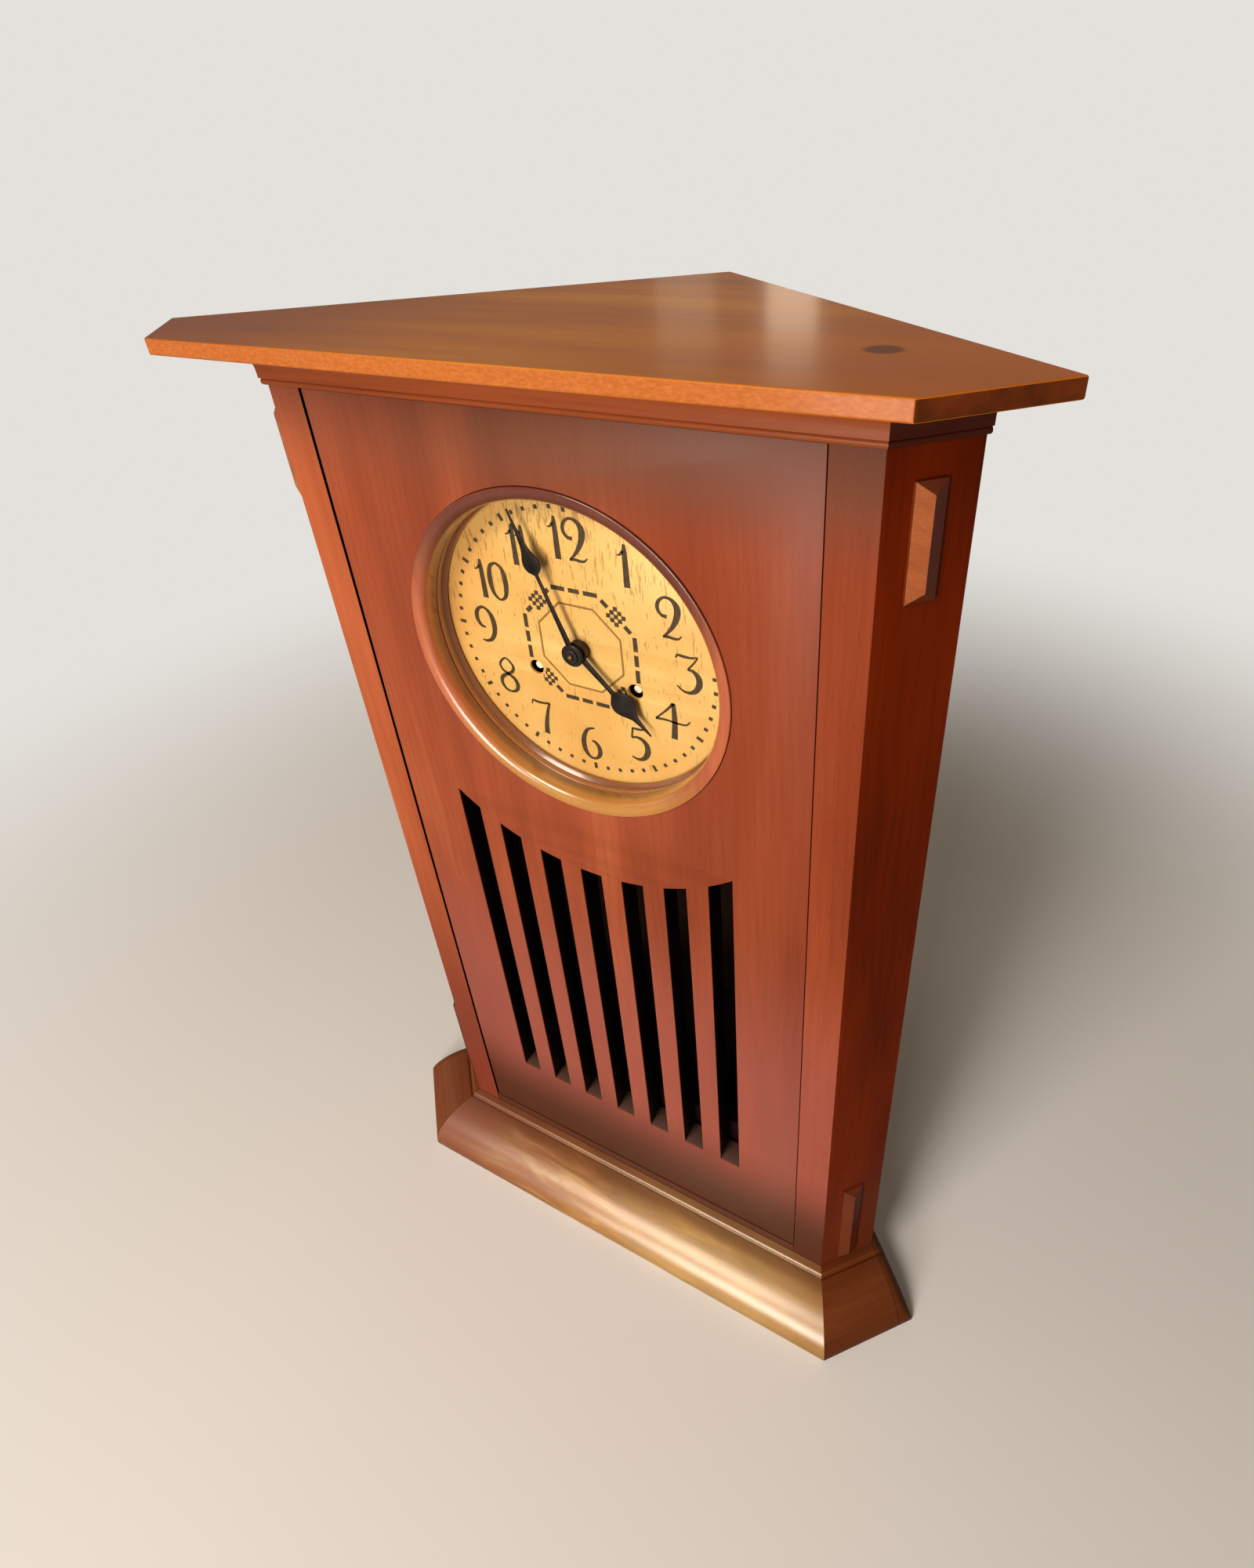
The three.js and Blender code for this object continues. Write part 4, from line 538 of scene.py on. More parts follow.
@dataclass(frozen=True)
class Cherry:
    """Cherry boards, planed, stained and varnished.

    The eye sees broad tone drifting along the board, growth-ring lines about 5 mm apart
    that run the length of it in slow waves, pores as short dark hairs and a satin sheen
    from the varnish. Each pattern's size is (across, along) the grain in millimetres.
    """

    name: str
    colours: Colours  # dark, middle and light wood
    grain: Grain = Grain.UPRIGHT
    roughness: float = 0.42
    shine: float = 0.18
    varnish: float = 0.12
    varnish_roughness: float = 0.2
    streak: float = 0.34
    figure: float = 0.0
    seed: float = 0.0
    tints: tuple[Tint, ...] = ()
    hidden: Hidden | None = None
    front: Colours | None = None
    front_tints: tuple[Tint, ...] = ()
    places: tuple[float, float, float] = (0.12, 0.5, 0.86)  # of the colours, dark to light
    drift_size: tuple[float, float] = (38, 260)
    bend_size: tuple[float, float] = (45, 190)
    hair_size: tuple[float, float] = (0.55, 42)
    pore_size: tuple[float, float] = (0.42, 5.5)
    wave_size: tuple[float, float] = (11, 60)
    ring_spacing: float = 5.0
    heart: tuple[float, float, float] = (0.013, 0.085, 0.0)  # metres from the ring's centre
    heart_stretch: float = 0.045
    bend_reach: float = 0.021
    ring_sharpness: float = 2.4
    ring_weight: float = -0.16
    hair_weight: float = 1.1
    wave_weight: float = 2.2
    pore_limit: float = 0.69
    pore_share: float = 0.28
    front_limit: float = -0.8  # a face that looks further forwards than this is a front
    drift_tone: tuple[float, float] = (1.1, -0.1)  # gain and offset of the tone
    drift_sheen: tuple[float, float] = (0.16, -0.08)  # the same of the roughness
    relief: tuple[float, float] = (0.6, -0.4)  # hairs stand up and pores sink
    bump: tuple[float, float] = (0.12, 0.0004)  # strength, and depth in metres

    def drawn(self, work: Surface, grain: Socket, size: tuple[float, float], detail: float,
              distortion: float = 0.0) -> Socket:
        """Noise one unit of which is size[0] across the grain and size[1] along it."""
        across, length = (1 / (value * MM) for value in size)
        return work.streaks((across, across, length), detail, grain, distortion)

    def rings(self, work: Surface, grain: Socket) -> Socket:
        """Growth rings: (0.5 + 0.5 sin(turns)) to a power.

        The turns are the distance from a heart line that lies far behind the board, pushed
        about by a slow bend, over the rings' spacing.

        Args:
            work: The board's material.
            grain: The place, turned so that the grain runs along z.

        Returns:
            1 on a ring, 0 between two.
        """
        add = work.add
        bend = self.drawn(work, grain, self.bend_size, 2.0)
        off = add("Mapping", grain, self.heart, None, (1.0, 1.0, self.heart_stretch))
        reach = add("VectorMath", off, operation="LENGTH")
        pushed = add("Math", bend, self.bend_reach, reach, **TIMES_PLUS)
        turns = add("Math", pushed, 2 * math.pi / (self.ring_spacing * MM), **TIMES)
        wave = add("Math", add("Math", turns, operation="SINE"), 0.5, 0.5, **TIMES_PLUS)
        return add("Math", wave, self.ring_sharpness, operation="POWER")

    def toned(self, work: Surface, tone: Socket, colours: Colours,
              tints: Iterable[Tint]) -> Socket:
        """Colour a tone and lay tints over it.

        Args:
            work: The board's material.
            tone: 0 for dark wood, 1 for light.
            colours: Dark, middle and light wood.
            tints: The tints, in their order.

        Returns:
            The colour.
        """
        colour = work.add("ValToRGB", tone, stops=list(zip(self.places, colours)))
        for tint in tints:
            colour = tint.lay(work, colour)
        return colour

    def marked(self, work: Surface, colour: Socket) -> Socket:
        """Return the colour as it is; a special board adds its own marks here."""
        return colour

    def build(self) -> bpy.types.Material:
        """Make the material.

        Returns:
            The node material.
        """
        work = Surface(self.name)
        add = work.add
        turn = Vector(self.grain.value).rotation_difference(Vector((0, 0, 1))).to_euler()
        shift = (self.seed, self.seed * 0.7, self.seed * 0.3)
        grain = add("Mapping", work.place, shift, turn)
        drift = self.drawn(work, grain, self.drift_size, 3.0)
        hair = self.drawn(work, grain, self.hair_size, 3.0)
        pore = self.drawn(work, grain, self.pore_size, 1.0)
        patterns = [(self.rings(work, grain), 0.0, self.ring_weight * self.streak),
                    (hair, 0.5, self.hair_weight * self.streak)]
        if self.figure:
            wave = self.drawn(work, grain, self.wave_size, 3.0, 1.1)
            patterns.append((wave, 0.5, self.wave_weight * self.figure))
        tone = add("Math", drift, *self.drift_tone, **TIMES_PLUS)
        for pattern, middle, weight in patterns:
            about = add("Math", pattern, middle, **MINUS)
            tone = add("Math", about, weight, tone, **TIMES_PLUS)
        colour = self.toned(work, tone, self.colours, self.tints)
        if self.front:
            # a board seen on two faces: the one that looks to the front has its own colours
            front = self.toned(work, tone, self.front, self.front_tints)
            ahead = add("Math", work.axis(Axis.Y, "Normal"), self.front_limit, **BELOW)
            colour = add("Mix", ahead, colour, front, **COLOUR)
        spots = add("Math", pore, self.pore_limit, **ABOVE)
        pores = add("Math", spots, self.pore_share, **TIMES)
        colour = work.stain(colour, [(pores, self.colours[0])])
        if self.hidden:
            colour = self.hidden.darken(work, colour)
        raised, sunk = self.relief
        height = add("Math", hair, raised, add("Math", pore, sunk, **TIMES), **TIMES_PLUS)
        gain, offset = self.drift_sheen
        return work.finish({
            "Base Color": self.marked(work, colour),
            "Roughness": add("Math", drift, gain, self.roughness + offset, **TIMES_PLUS),
            "Coat Weight": self.varnish, "Coat Roughness": self.varnish_roughness,
            "Specular IOR Level": self.shine,
            "Normal": add("Bump", *self.bump, None, height)})


@dataclass(frozen=True)
class DoorCherry(Cherry):
    """The door's cherry, whose slots have walls stained black, the near-black also painted
    shade, and sills painted a lit grey, painted light on the black stain.

    It has a grey-brown painted shadow along its top under the crown, and it is darker on the
    right above the slots.
    """

    slots_reach: float = 0.098  # metres either way that hold the slots
    slots_top: float = 0.395
    front_skin: float = 0.6  # millimetres behind the front where a slot's wall begins
    # how much of the lit grey shows on the sills: painted light
    lit_sill_share: float = 0.75
    # painted shadow under the crown: the heights it grows over, then its spread to the right
    painted_shadow_heights: tuple[float, float] = (0.56, 0.6)
    painted_shadow_spread: tuple[float, ...] = (-0.1, 0.1, 0.25, 0.85)  # from x to x, share to share
    dark_heights: tuple[float, float] = (0.3, 0.45)
    dark_spread: tuple[float, ...] = (0.0, 0.13, 0.0, 0.6)

    def marked(self, work: Surface, colour: Socket) -> Socket:
        """Stain the slot walls, paint the sills a lit grey, paint the shadow under the crown, and
        darken the right above the slots.

        A wall faces sideways and a sill up, both behind the front and in the slots' window,
        so a mask is |normal| over a half times that window in x, y and z.

        Args:
            work: The door's material.
            colour: The colour of the plain board.

        Returns:
            The stained colour.
        """
        add = work.add
        x, y, z = (work.axis(axis) for axis in Axis)
        inside = add("Math", add("Math", x, **SIZE), self.slots_reach, **BELOW)
        low = add("Math", z, self.slots_top, **BELOW)
        behind = add("Math", y, (CASE_SHIFT + self.front_skin) * MM, **ABOVE)
        window = add("Math", add("Math", inside, low, **TIMES), behind, **TIMES)
        turned = (add("Math", work.axis(axis, "Normal"), **SIZE) for axis in (Axis.X, Axis.Z))
        wall, sill = (add("Math", add("Math", part, LOOKS, **ABOVE), window, **TIMES)
                      for part in turned)
        # grey is the crown's painted shadow along the door's top, stronger to the right
        grey = add("MapRange", z, *self.painted_shadow_heights, **SOFT)
        painted_shadow_right = add("MapRange", x, *self.painted_shadow_spread)
        dark = add("MapRange", z, *self.dark_heights)
        dark_right = add("MapRange", x, *self.dark_spread)
        return work.stain(colour, [
            (add("Math", grey, painted_shadow_right, **TIMES), "664c3a"),
            (add("Math", dark_right, dark, **TIMES), "7c3018"),
            # slot walls stained black, the near-black also painted shade inside the slots
            (wall, "0d0606"),
            # sills a grey that is the black stain as lit from above: painted light
            (add("Math", sill, self.lit_sill_share, **TIMES), "4a423d")])


@dataclass(frozen=True)
class TopCherry(Cherry):
    """The top board's cherry: a plugged knot on the right and rougher, brighter edges; those
    that face right are darkened, painted shade.
    """

    knot: tuple[float, float] = (143.0, 19.4)
    knot_rim: tuple[float, float] = (0.0085, 0.0055)  # metres from its middle, out to in
    knot_share: float = 0.7
    end_scale: tuple[float, float, float] = (500.0, 500.0, 1100.0)  # to the metre
    end_share: float = 0.9
    shade_scale: float = 70.0
    shade_limit: float = 0.3  # a face that looks further right than this is in shade

    def marked(self, work: Surface, colour: Socket) -> Socket:
        """Darken a round plug by its distance in plan, rough the edges, and paint shade on those
        that face right.

        Args:
            work: The top's material.
            colour: The colour of the plain board.

        Returns:
            The marked colour.
        """
        add = work.add
        middle = (self.knot[0] * MM, (self.knot[1] + CASE_SHIFT) * MM, 0.0)
        flat = add("VectorMath", work.place, (1, 1, 0), **TIMES)
        away = add("VectorMath", flat, middle, operation="DISTANCE")
        plug = add("MapRange", away, *self.knot_rim, 0.0, self.knot_share)
        colour = work.stain(colour, [(plug, "401a08")])
        speckle = work.streaks(self.end_scale, 4.0)
        ends = add("ValToRGB", speckle, stops=[(0.3, "b0602e"), (0.5, "bb6a34"), (0.7, "c67640")])
        broad = add("TexNoise", work.place, self.shade_scale, 3.0)
        shaded = add("ValToRGB", broad, stops=[(0.4, "3c1406"), (0.62, "642810")])
        right = add("Math", work.axis(Axis.X, "Normal"), self.shade_limit, **ABOVE)
        ends = add("Mix", right, ends, shaded, **COLOUR)
        edge = add("Math", add("Math", work.axis(Axis.Z, "Normal"), **SIZE), LOOKS, **BELOW)
        return add("Mix", add("Math", edge, self.end_share, **TIMES), colour, ends, **COLOUR)


@dataclass(frozen=True)
class Metal:
    """A worked metal: its tone drifts a little and fine tool marks scatter the light."""

    name: str
    light: str
    dark: str
    roughness: float
    metallic: float = 1.0
    grit: float = 0.35  # millimetres between tool marks
    cloud_scale: float = 90.0  # to the metre
    cloud_sheen: tuple[float, float] = (0.2, -0.1)  # gain and offset of the roughness
    bump: tuple[float, float] = (0.15, 0.0001)  # strength, and depth in metres

    def build(self) -> bpy.types.Material:
        """Make the material.

        Returns:
            The node material.
        """
        work = Surface(self.name)
        add = work.add
        gain, offset = self.cloud_sheen
        cloud = add("TexNoise", work.place, self.cloud_scale, 4.0)
        marks = add("TexNoise", work.place, 1000 / self.grit, 2.0)
        return work.finish({
            "Base Color": add("ValToRGB", cloud, stops=[(0.32, self.dark), (0.68, self.light)]),
            "Metallic": self.metallic,
            "Roughness": add("Math", cloud, gain, self.roughness + offset, **TIMES_PLUS),
            "Normal": add("Bump", *self.bump, None, marks)})


@dataclass(frozen=True)
class DialLacquer:
    """Brass sheet under aged lacquer: warm straw gold with dark hairs that run up the dial,
    denser towards the top."""

    name: str = "aged_lacquered_brass"
    hairs: tuple[float, float, float] = (1000.0, 1000.0, 130.0)  # to the metre
    hair_limit: float = 0.76
    hair_share: float = 0.5
    hair_grey: tuple[float, float] = (0.35, 0.82)
    grey_share: float = 0.4
    cloud_scale: float = 16.0
    patch_scale: float = 55.0
    patch_weight: float = 0.16
    metallic: float = 0.12
    roughness: float = 0.4
    bump: tuple[float, float] = (0.12, 0.0001)  # strength, and depth in metres
    denser: tuple[float, ...] = (0.47, 0.6, 0.0, 0.15)  # heights in metres, then how much

    def build(self) -> bpy.types.Material:
        """Make the material.

        Returns:
            The node material.
        """
        work = Surface(self.name)
        add = work.add
        cloud = add("TexNoise", work.place, self.cloud_scale, 3.0)
        hair = work.streaks(self.hairs, 3.0)
        patch = add("TexNoise", work.place, self.patch_scale, 2.0)
        upper = add("MapRange", work.axis(Axis.Z), *self.denser)
        uneven = add("Math", patch, self.patch_weight, upper, **TIMES_PLUS)
        worn = add("Math", hair, add("Math", self.hair_limit, uneven, **MINUS), **ABOVE)
        base = add("ValToRGB", cloud, stops=[(0.3, "e4a85c"), (0.5, "ebbb6a"), (0.72, "f3cc80")])
        colour = work.stain(base, [(add("Math", worn, self.hair_share, **TIMES), "7a5a24")])
        fine = add("Math", hair, *self.hair_grey, **TIMES_PLUS)
        grey = add("CombineColor", fine, fine, fine)
        colour = add("Mix", self.grey_share, colour, grey, blend_type="MULTIPLY", **COLOUR)
        return work.finish({"Base Color": colour, "Metallic": self.metallic,
                            "Roughness": self.roughness,
                            "Normal": add("Bump", *self.bump, None, hair)})


@dataclass(frozen=True)
class Ink:
    """Printed numbers: dark brown ink, thin enough that the metal's grain breaks it a little."""

    name: str = "printed_brown_ink"
    colour: str = "33260d"
    worn: str = "5a4418"
    hairs: tuple[float, float, float] = (1500.0, 1500.0, 260.0)  # to the metre
    roughness: float = 0.55

    def build(self) -> bpy.types.Material:
        """Make the material.

        Returns:
            The node material.
        """
        work = Surface(self.name)
        hair = work.streaks(self.hairs, 2.0)
        stops = [(0.45, self.colour), (0.75, self.worn)]
        return work.finish({"Base Color": work.add("ValToRGB", hair, stops=stops),
                            "Roughness": self.roughness})


def ring_depth(start: float, end: float) -> tuple[float, float]:
    """Two depths behind the case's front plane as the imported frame's y in metres."""
    return (start + CASE_SHIFT) * MM, (end + CASE_SHIFT) * MM


RED = ("7a3620", "9b4a2c", "b66440")
# pinkish over the door's lower half, a painted reflection; then darker towards the bottom
PAINTED_REFLECTION_AND_DARK_FOOT = (Tint(Axis.Z, 0.36, 0.2, 0.65, "a05850"), Tint(Axis.Z, 0.14, 0.055, 0.9, "462616"))
RECIPES = {
    "door": DoorCherry("cherry_door_front", RED, varnish=0.08, varnish_roughness=0.4, tints=PAINTED_REFLECTION_AND_DARK_FOOT),
    # left stile: darker towards the bottom, a grey-brown painted shadow under the crown at its top,
    # and inside painted shade
    "side_left": Cherry(
        "cherry_case_left", ("924322", "b45c36", "c6724c"), seed=0.31,
        hidden=Hidden(1.0, -1.0, 131.3, "120604"),
        tints=(Tint(Axis.Z, 0.4, 0.1, 0.9, "7c3426"), Tint(Axis.Z, 0.56, 0.615, 0.45, "6a4238"))),
    # right side board: its outer face a dark copy of the stile's cherry, painted shade; inside a
    # lighter colour, painted light that softens the shade in the door's seam
    "side_right": Cherry(
        "cherry_case_right", ("501400", "722200", "8c380c"), seed=0.57, shine=0.06, varnish=0.05,
        varnish_roughness=0.35, hidden=Hidden(1.0, -1.0, 131.3, "7c3a22"),
        tints=(Tint(Axis.Z, 0.17, 0.05, 0.5, "6e3a28"),), front=RED,
        # stile: darker above 0.3 m, the painted reflection and darker foot, then the crown's
        # painted shadow at its top
        front_tints=(Tint(Axis.Z, 0.3, 0.45, 0.5, "7c3018"), *PAINTED_REFLECTION_AND_DARK_FOOT,
                     Tint(Axis.Z, 0.56, 0.605, 0.6, "5c4332"))),
    # back panels: their inside faces dark brown, painted shade
    "wall": Cherry("cherry_wall_panels", RED, seed=0.83, hidden=Hidden(1.0, 1.0, 205.5, "32221a")),
    "top": TopCherry(
        "cherry_top_board", ("a85a1c", "d07e2a", "e69e44"), Grain.ACROSS, roughness=0.34,
        shine=0.03, varnish=0.2, varnish_roughness=0.17, streak=0.25, seed=0.12,
        tints=(Tint(Axis.X, -0.02, -0.2, 0.65, "84380c"),
               Tint(Axis.X, 0.04, 0.19, 0.75, "c46a18"))),
    # its back, inside the case, dark as painted shade
    "crown_front": Cherry("cherry_crown_front", ("88401e", "a85428", "be6c3c"), Grain.ACROSS,
                          seed=0.2, hidden=Hidden(0.0, -1.0, -14.0)),
    "base_front": Cherry(
        "cherry_base_front", ("8c5c30", "b98146", "e8c684"), Grain.ACROSS, roughness=0.34,
        shine=0.6, varnish=0.9, varnish_roughness=0.3, figure=0.6, seed=0.2,
        # darker towards the left end and cream from the middle rightwards: a painted highlight
        # where the lamp's reflection falls; darker again at the right end
        tints=(Tint(Axis.X, 0.0, -0.16, 0.95, "86462a"), Tint(Axis.X, -0.05, 0.06, 0.35, "e6c882"),
               Tint(Axis.X, 0.11, 0.17, 0.7, "94602c"),
               # darker from the bead up: painted shade that dulls the bead's highlight
               Tint(Axis.Z, 0.0245, 0.0255, 0.6, "7c4628"))),
    "base_left": Cherry("cherry_base_left", ("5a2a14", "7a4020", "94582e"), Grain.ALONG_LEFT,
                        seed=0.7),
    # darker than the front's cherry: painted shade on the right side
    "base_right": Cherry("cherry_base_right", ("4c2208", "6c3412", "87481e"), Grain.ALONG_RIGHT,
                         seed=0.9),
    "crown_left": Cherry("cherry_crown_left", RED, Grain.ALONG_LEFT, seed=0.4),
    # darkest of the mouldings: painted shade under the top's overhang on the right
    "crown_right": Cherry("cherry_crown_right", ("3a1003", "501905", "66270c"), Grain.ALONG_RIGHT,
                          seed=0.6),
    "ring": Cherry(
        "cherry_turned_ring", ("94442a", "be643c", "d47e50"), roughness=0.27, shine=0.6,
        varnish=1.0, varnish_roughness=0.14, seed=0.44,
        # darker at the top, painted shade; golden at the bottom, a painted reflection of the dial
        tints=(Tint(Axis.Z, 0.50, 0.56, 0.85, "4a1408"), Tint(Axis.Z, 0.45, 0.405, 0.75, "c09040"),
               # down the roll's inside darker, painted shade in the groove; a light band on the
               # bead, painted highlight; darker again towards the dial, painted shadow
               Tint(Axis.Y, *ring_depth(3.2, 8.0), 0.7, "44200f"),
               Tint(Axis.Y, *ring_depth(9.9, 10.4), 0.9, "b87444"),
               Tint(Axis.Y, *ring_depth(12.0, 14.0), 0.7, "6e3a1a"))),
    # near-black wood for the inside of the case: painted shade
    "inside": Cherry("cherry_inside_painted_shade", ("190b07", "241009", "30160d"), roughness=0.6,
                     varnish=0.0, seed=0.66),
    # lit and shaded copies of one cherry: the tenons' front faces light, their other faces dark as
    # painted shade; inside painted shade; darker lower down
    "rail": Cherry(
        "cherry_through_rails", ("4c1a08", "6a2c12", "824020"), Grain.ACROSS, seed=0.37,
        hidden=Hidden(1.0, 0.0, 140.0), front=("7a3d20", "a85c34", "c47e50"),
        tints=(Tint(Axis.Z, 0.25, 0.1, 0.6, "5c2410"),),
        front_tints=(Tint(Axis.Z, 0.25, 0.1, 0.8, "5c2818"),)),
    "front_rail": Cherry("cherry_front_rails", RED, Grain.ACROSS, seed=0.5,
                         tints=(Tint(Axis.Z, 0.12, 0.06, 0.9, "4a281a"),)),
    "dial": DialLacquer(),
    "ink": Ink(),
    "thin_ink": Ink("printed_thin_lines", "8a6424", "a57c35"),
    "black_steel": Metal("blackened_steel", "3c3531", "1f1a18", 0.42, 0.75),
    "brass": Metal("machined_brass", "c9a04a", "8f6a28", 0.32),
    # near white rather than brass, for the winding arbors' ends: a painted glint
    "bright_brass": Metal("bright_brass", "fff6e0", "ffeec0", 0.22, 0.0),
    "steel": Metal("bright_steel", "b9b9bb", "77777a", 0.3),
    "iron": Metal("cast_iron", "3f3d3b", "262523", 0.65, 0.6, 0.8),
}
Finishes = dict[str, bpy.types.Material]


def dress(piece: bpy.types.Object, material: bpy.types.Material) -> None:
    """Give a piece one material."""
    piece.data.materials.clear()
    piece.data.materials.append(material)


def seat(piece: bpy.types.Object, material: bpy.types.Material, body: str,
         replaced: str = "") -> None:
    """Dress a finished piece and put it on its body.

    Args:
        piece: The piece.
        material: Its finish.
        body: The body that it rides.
        replaced: The CAD node that it stands for, if any.
    """
    dress(piece, material)
    if replaced:
        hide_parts(replaced)
    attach(piece, body)
    LOG.info("made %s", piece.name)


# ---------------------------------------------------------------- case


@dataclass(frozen=True)
class Run:
    """A straight length of moulding with mitred ends, on the case's face in plan."""

    start: tuple[float, float]
    direction: tuple[float, float]
    outward: tuple[float, float]
    length: float
    mitres: tuple[float, float]  # how far each end runs on for a millimetre outward
    steps: int
    hairline: float = 0.06  # left open at each end, so that the joints show

    def carry(self, name: str, profile: np.ndarray) -> bpy.types.Object:
        """Carry a profile along the run.

        A point is start + direction * (t + out * mitre) + outward * out, where t goes along
        the run and mitre goes from minus the first value to the second.

        Args:
            name: The piece's name.
            profile: Closed loop of (out, up).

        Returns:
            The finished piece.
        """
        t = np.linspace(0, 1, self.steps)[:, None]
        mitre = -self.mitres[0] * (1 - t) + self.mitres[1] * t
        straight = self.hairline + (self.length - 2 * self.hairline) * t
        along = straight + profile[None, :, 0] * mitre
        out, up = (np.broadcast_to(profile[None, :, k], along.shape) for k in (0, 1))
        x, y = (self.start[k] + self.direction[k] * along + self.outward[k] * out for k in (0, 1))
        return sweep(name, np.stack([x, y, up], -1))


@dataclass
class Mouldings:
    """The crown and base mouldings, each a profile carried along the front and both sides."""

    crown_height: float = 20.5
    crown_projection: float = 12.0
    crown_bead: float = 1.7
    base_height: float = 27.0
    base_projection: float = 40.8
    base_ledge: float = 7.9
    foot: float = 3.0
    gap: float = 0.2  # behind a moulding
    back_board: float = 10.0
    back_turn: float = 81.5  # degrees that the back boards' ends turn through
    back_whole: float = 82.0  # degrees at which all of the thickness would be reached
    back_steps: int = 14
    back_gap: float = 0.3

    def crown_profile(self) -> np.ndarray:
        """The crown: a small bead, a fillet and a hollow that runs out to a plain lip.

        Returns:
            Closed loop of (out, up) rows; up is measured from the crown's foot.
        """
        lip, top = self.crown_projection, self.crown_height
        bead = arc((1.05, self.crown_bead), self.crown_bead, self.crown_bead, -90, 82, 14)
        hollow = arc((lip, 6.0), lip - 3.35, 12.0, 180, 92, 22)
        return np.vstack([[[self.gap, 0.0]], bead, [[3.3, 3.45]], hollow,
                          [[lip, 18.4], [lip, top], [self.gap, top]]])

    def base_profile(self) -> np.ndarray:
        """The base: a ledge with a fine bead, then a quarter round down to a short foot.

        Returns:
            Closed loop of (out, up) rows; up is measured from the shelf.
        """
        ledge, reach = self.base_ledge, self.base_projection
        swell = arc((ledge, self.foot), reach - ledge, 22.5, 0, 90, 48)
        bead = arc((4.15, 25.5), 1.5, 1.5, -20, 90, 10)
        return np.vstack([[[self.gap, 0.0], [reach - 0.4, 0.0], [reach, 0.4]], swell,
                          [[ledge - 1.4, 24.6]], bead, [[self.gap, self.base_height]]])

    def back_sections(self, sign: int) -> np.ndarray:
        """One back board of the base, whose end repeats the moulding.

        Above the foot it falls away to the rear in a quarter round: at an angle a it has gone
        back thickness * sin(a), and up' = foot + (up - foot) * cos(a). On the middle plane
        x = 0 it ends where out = -(x0 / diagonal) - along.

        Args:
            sign: -1 for the left one, 1 for the right one.

        Returns:
            Sections of shape (steps, around, 3).
        """
        profile = self.base_profile()
        turn = np.radians(np.linspace(0, self.back_turn, self.back_steps))[:, None]
        back = self.back_board * np.sin(turn) / math.sin(math.radians(self.back_whole))
        along = np.broadcast_to(back, (self.back_steps, len(profile)))
        out, up = (np.broadcast_to(profile[None, :, k], along.shape) for k in (0, 1))
        z = np.minimum(up, self.foot) + np.maximum(up - self.foot, 0) * np.cos(turn)
        start = side_place(SIDE_LENGTH + self.back_gap, 0)
        out = np.where(profile[:, 0] < 1, -(start[0] / DIAGONAL) - along + self.back_gap, out)
        x = sign * (start[0] + DIAGONAL * (along + out))
        return np.stack([x, start[1] + DIAGONAL * (along - out), z], -1)

    def build(self, finishes: Finishes) -> None:
        """Make the six lengths and the two back boards, and put them on the case.

        Args:
            finishes: The clock's materials.
        """
        runs = {"front": Run((-HALF_WIDTH, 0), (1, 0), (0, -1), 2 * HALF_WIDTH, (MITRE, MITRE), 12)}
        for word, sign in SIDES.items():
            slant = sign * DIAGONAL
            runs[word] = Run((sign * HALF_WIDTH, 0), (slant, DIAGONAL), (slant, -DIAGONAL),
                             SIDE_LENGTH, (MITRE, 0), 4)
        lift = CASE_HEIGHT - self.crown_height
        profiles = {"crown": self.crown_profile() + [0, lift], "base": self.base_profile()}
        for kind, profile in profiles.items():
            for word, run in runs.items():
                piece = run.carry(f"{kind}_moulding_{word}", profile)
                seat(piece, finishes[f"{kind}_{word}"], "case", f"{kind}_{word}")
        for word, sign in SIDES.items():
            piece = sweep(f"base_wall_board_{word}", self.back_sections(sign))
            seat(piece, finishes[f"base_{word}"], "case", f"base_back_{word}")


@dataclass
class Boards:
    """The case's boards that show whole: the top and the two narrow sides."""

    top_overhang: float = 40.6
    top_rear: float = 1.5
    top_thickness: float = 7.4
    top_blunt: float = 1.2  # taken off the rear corner
    top_edge: float = 0.9
    side_edge: float = 0.25

    def top_outline(self) -> np.ndarray:
        """The five-sided plan of the top board, its rear corner a hair blunt.

        Returns:
            Rows of (x, y).
        """
        out, rear = self.top_overhang, SIDE_LENGTH + self.top_rear
        apex = HALF_WIDTH + 2 * rear * DIAGONAL
        right = [side_place(out - out / DIAGONAL, out), side_place(rear, out),
                 (self.top_blunt, apex - self.top_blunt)]
        return np.array(right + [(-x, y) for x, y in reversed(right)])

    def build(self, finishes: Finishes) -> None:
        """Make the boards.

        Args:
            finishes: The clock's materials.
        """
        high = CASE_HEIGHT + self.top_thickness
        top = prism("top_board_varnished", self.top_outline(), CASE_HEIGHT, high, self.top_edge)
        seat(top, finishes["top"], "case", "top_board")
        plan = [side_place(0, 0), side_place(SIDE_LENGTH, 0),
                side_place(SIDE_LENGTH, -BOARD_STOCK), side_place(-BOARD_STOCK, -BOARD_STOCK)]
        for word, sign in SIDES.items():
            side = prism(f"side_board_{word}_varnished", np.array(plan) * [sign, 1], 0.0,
                         CASE_HEIGHT, self.side_edge)
            seat(side, finishes[f"side_{word}"], "case", f"side_board_{word}")


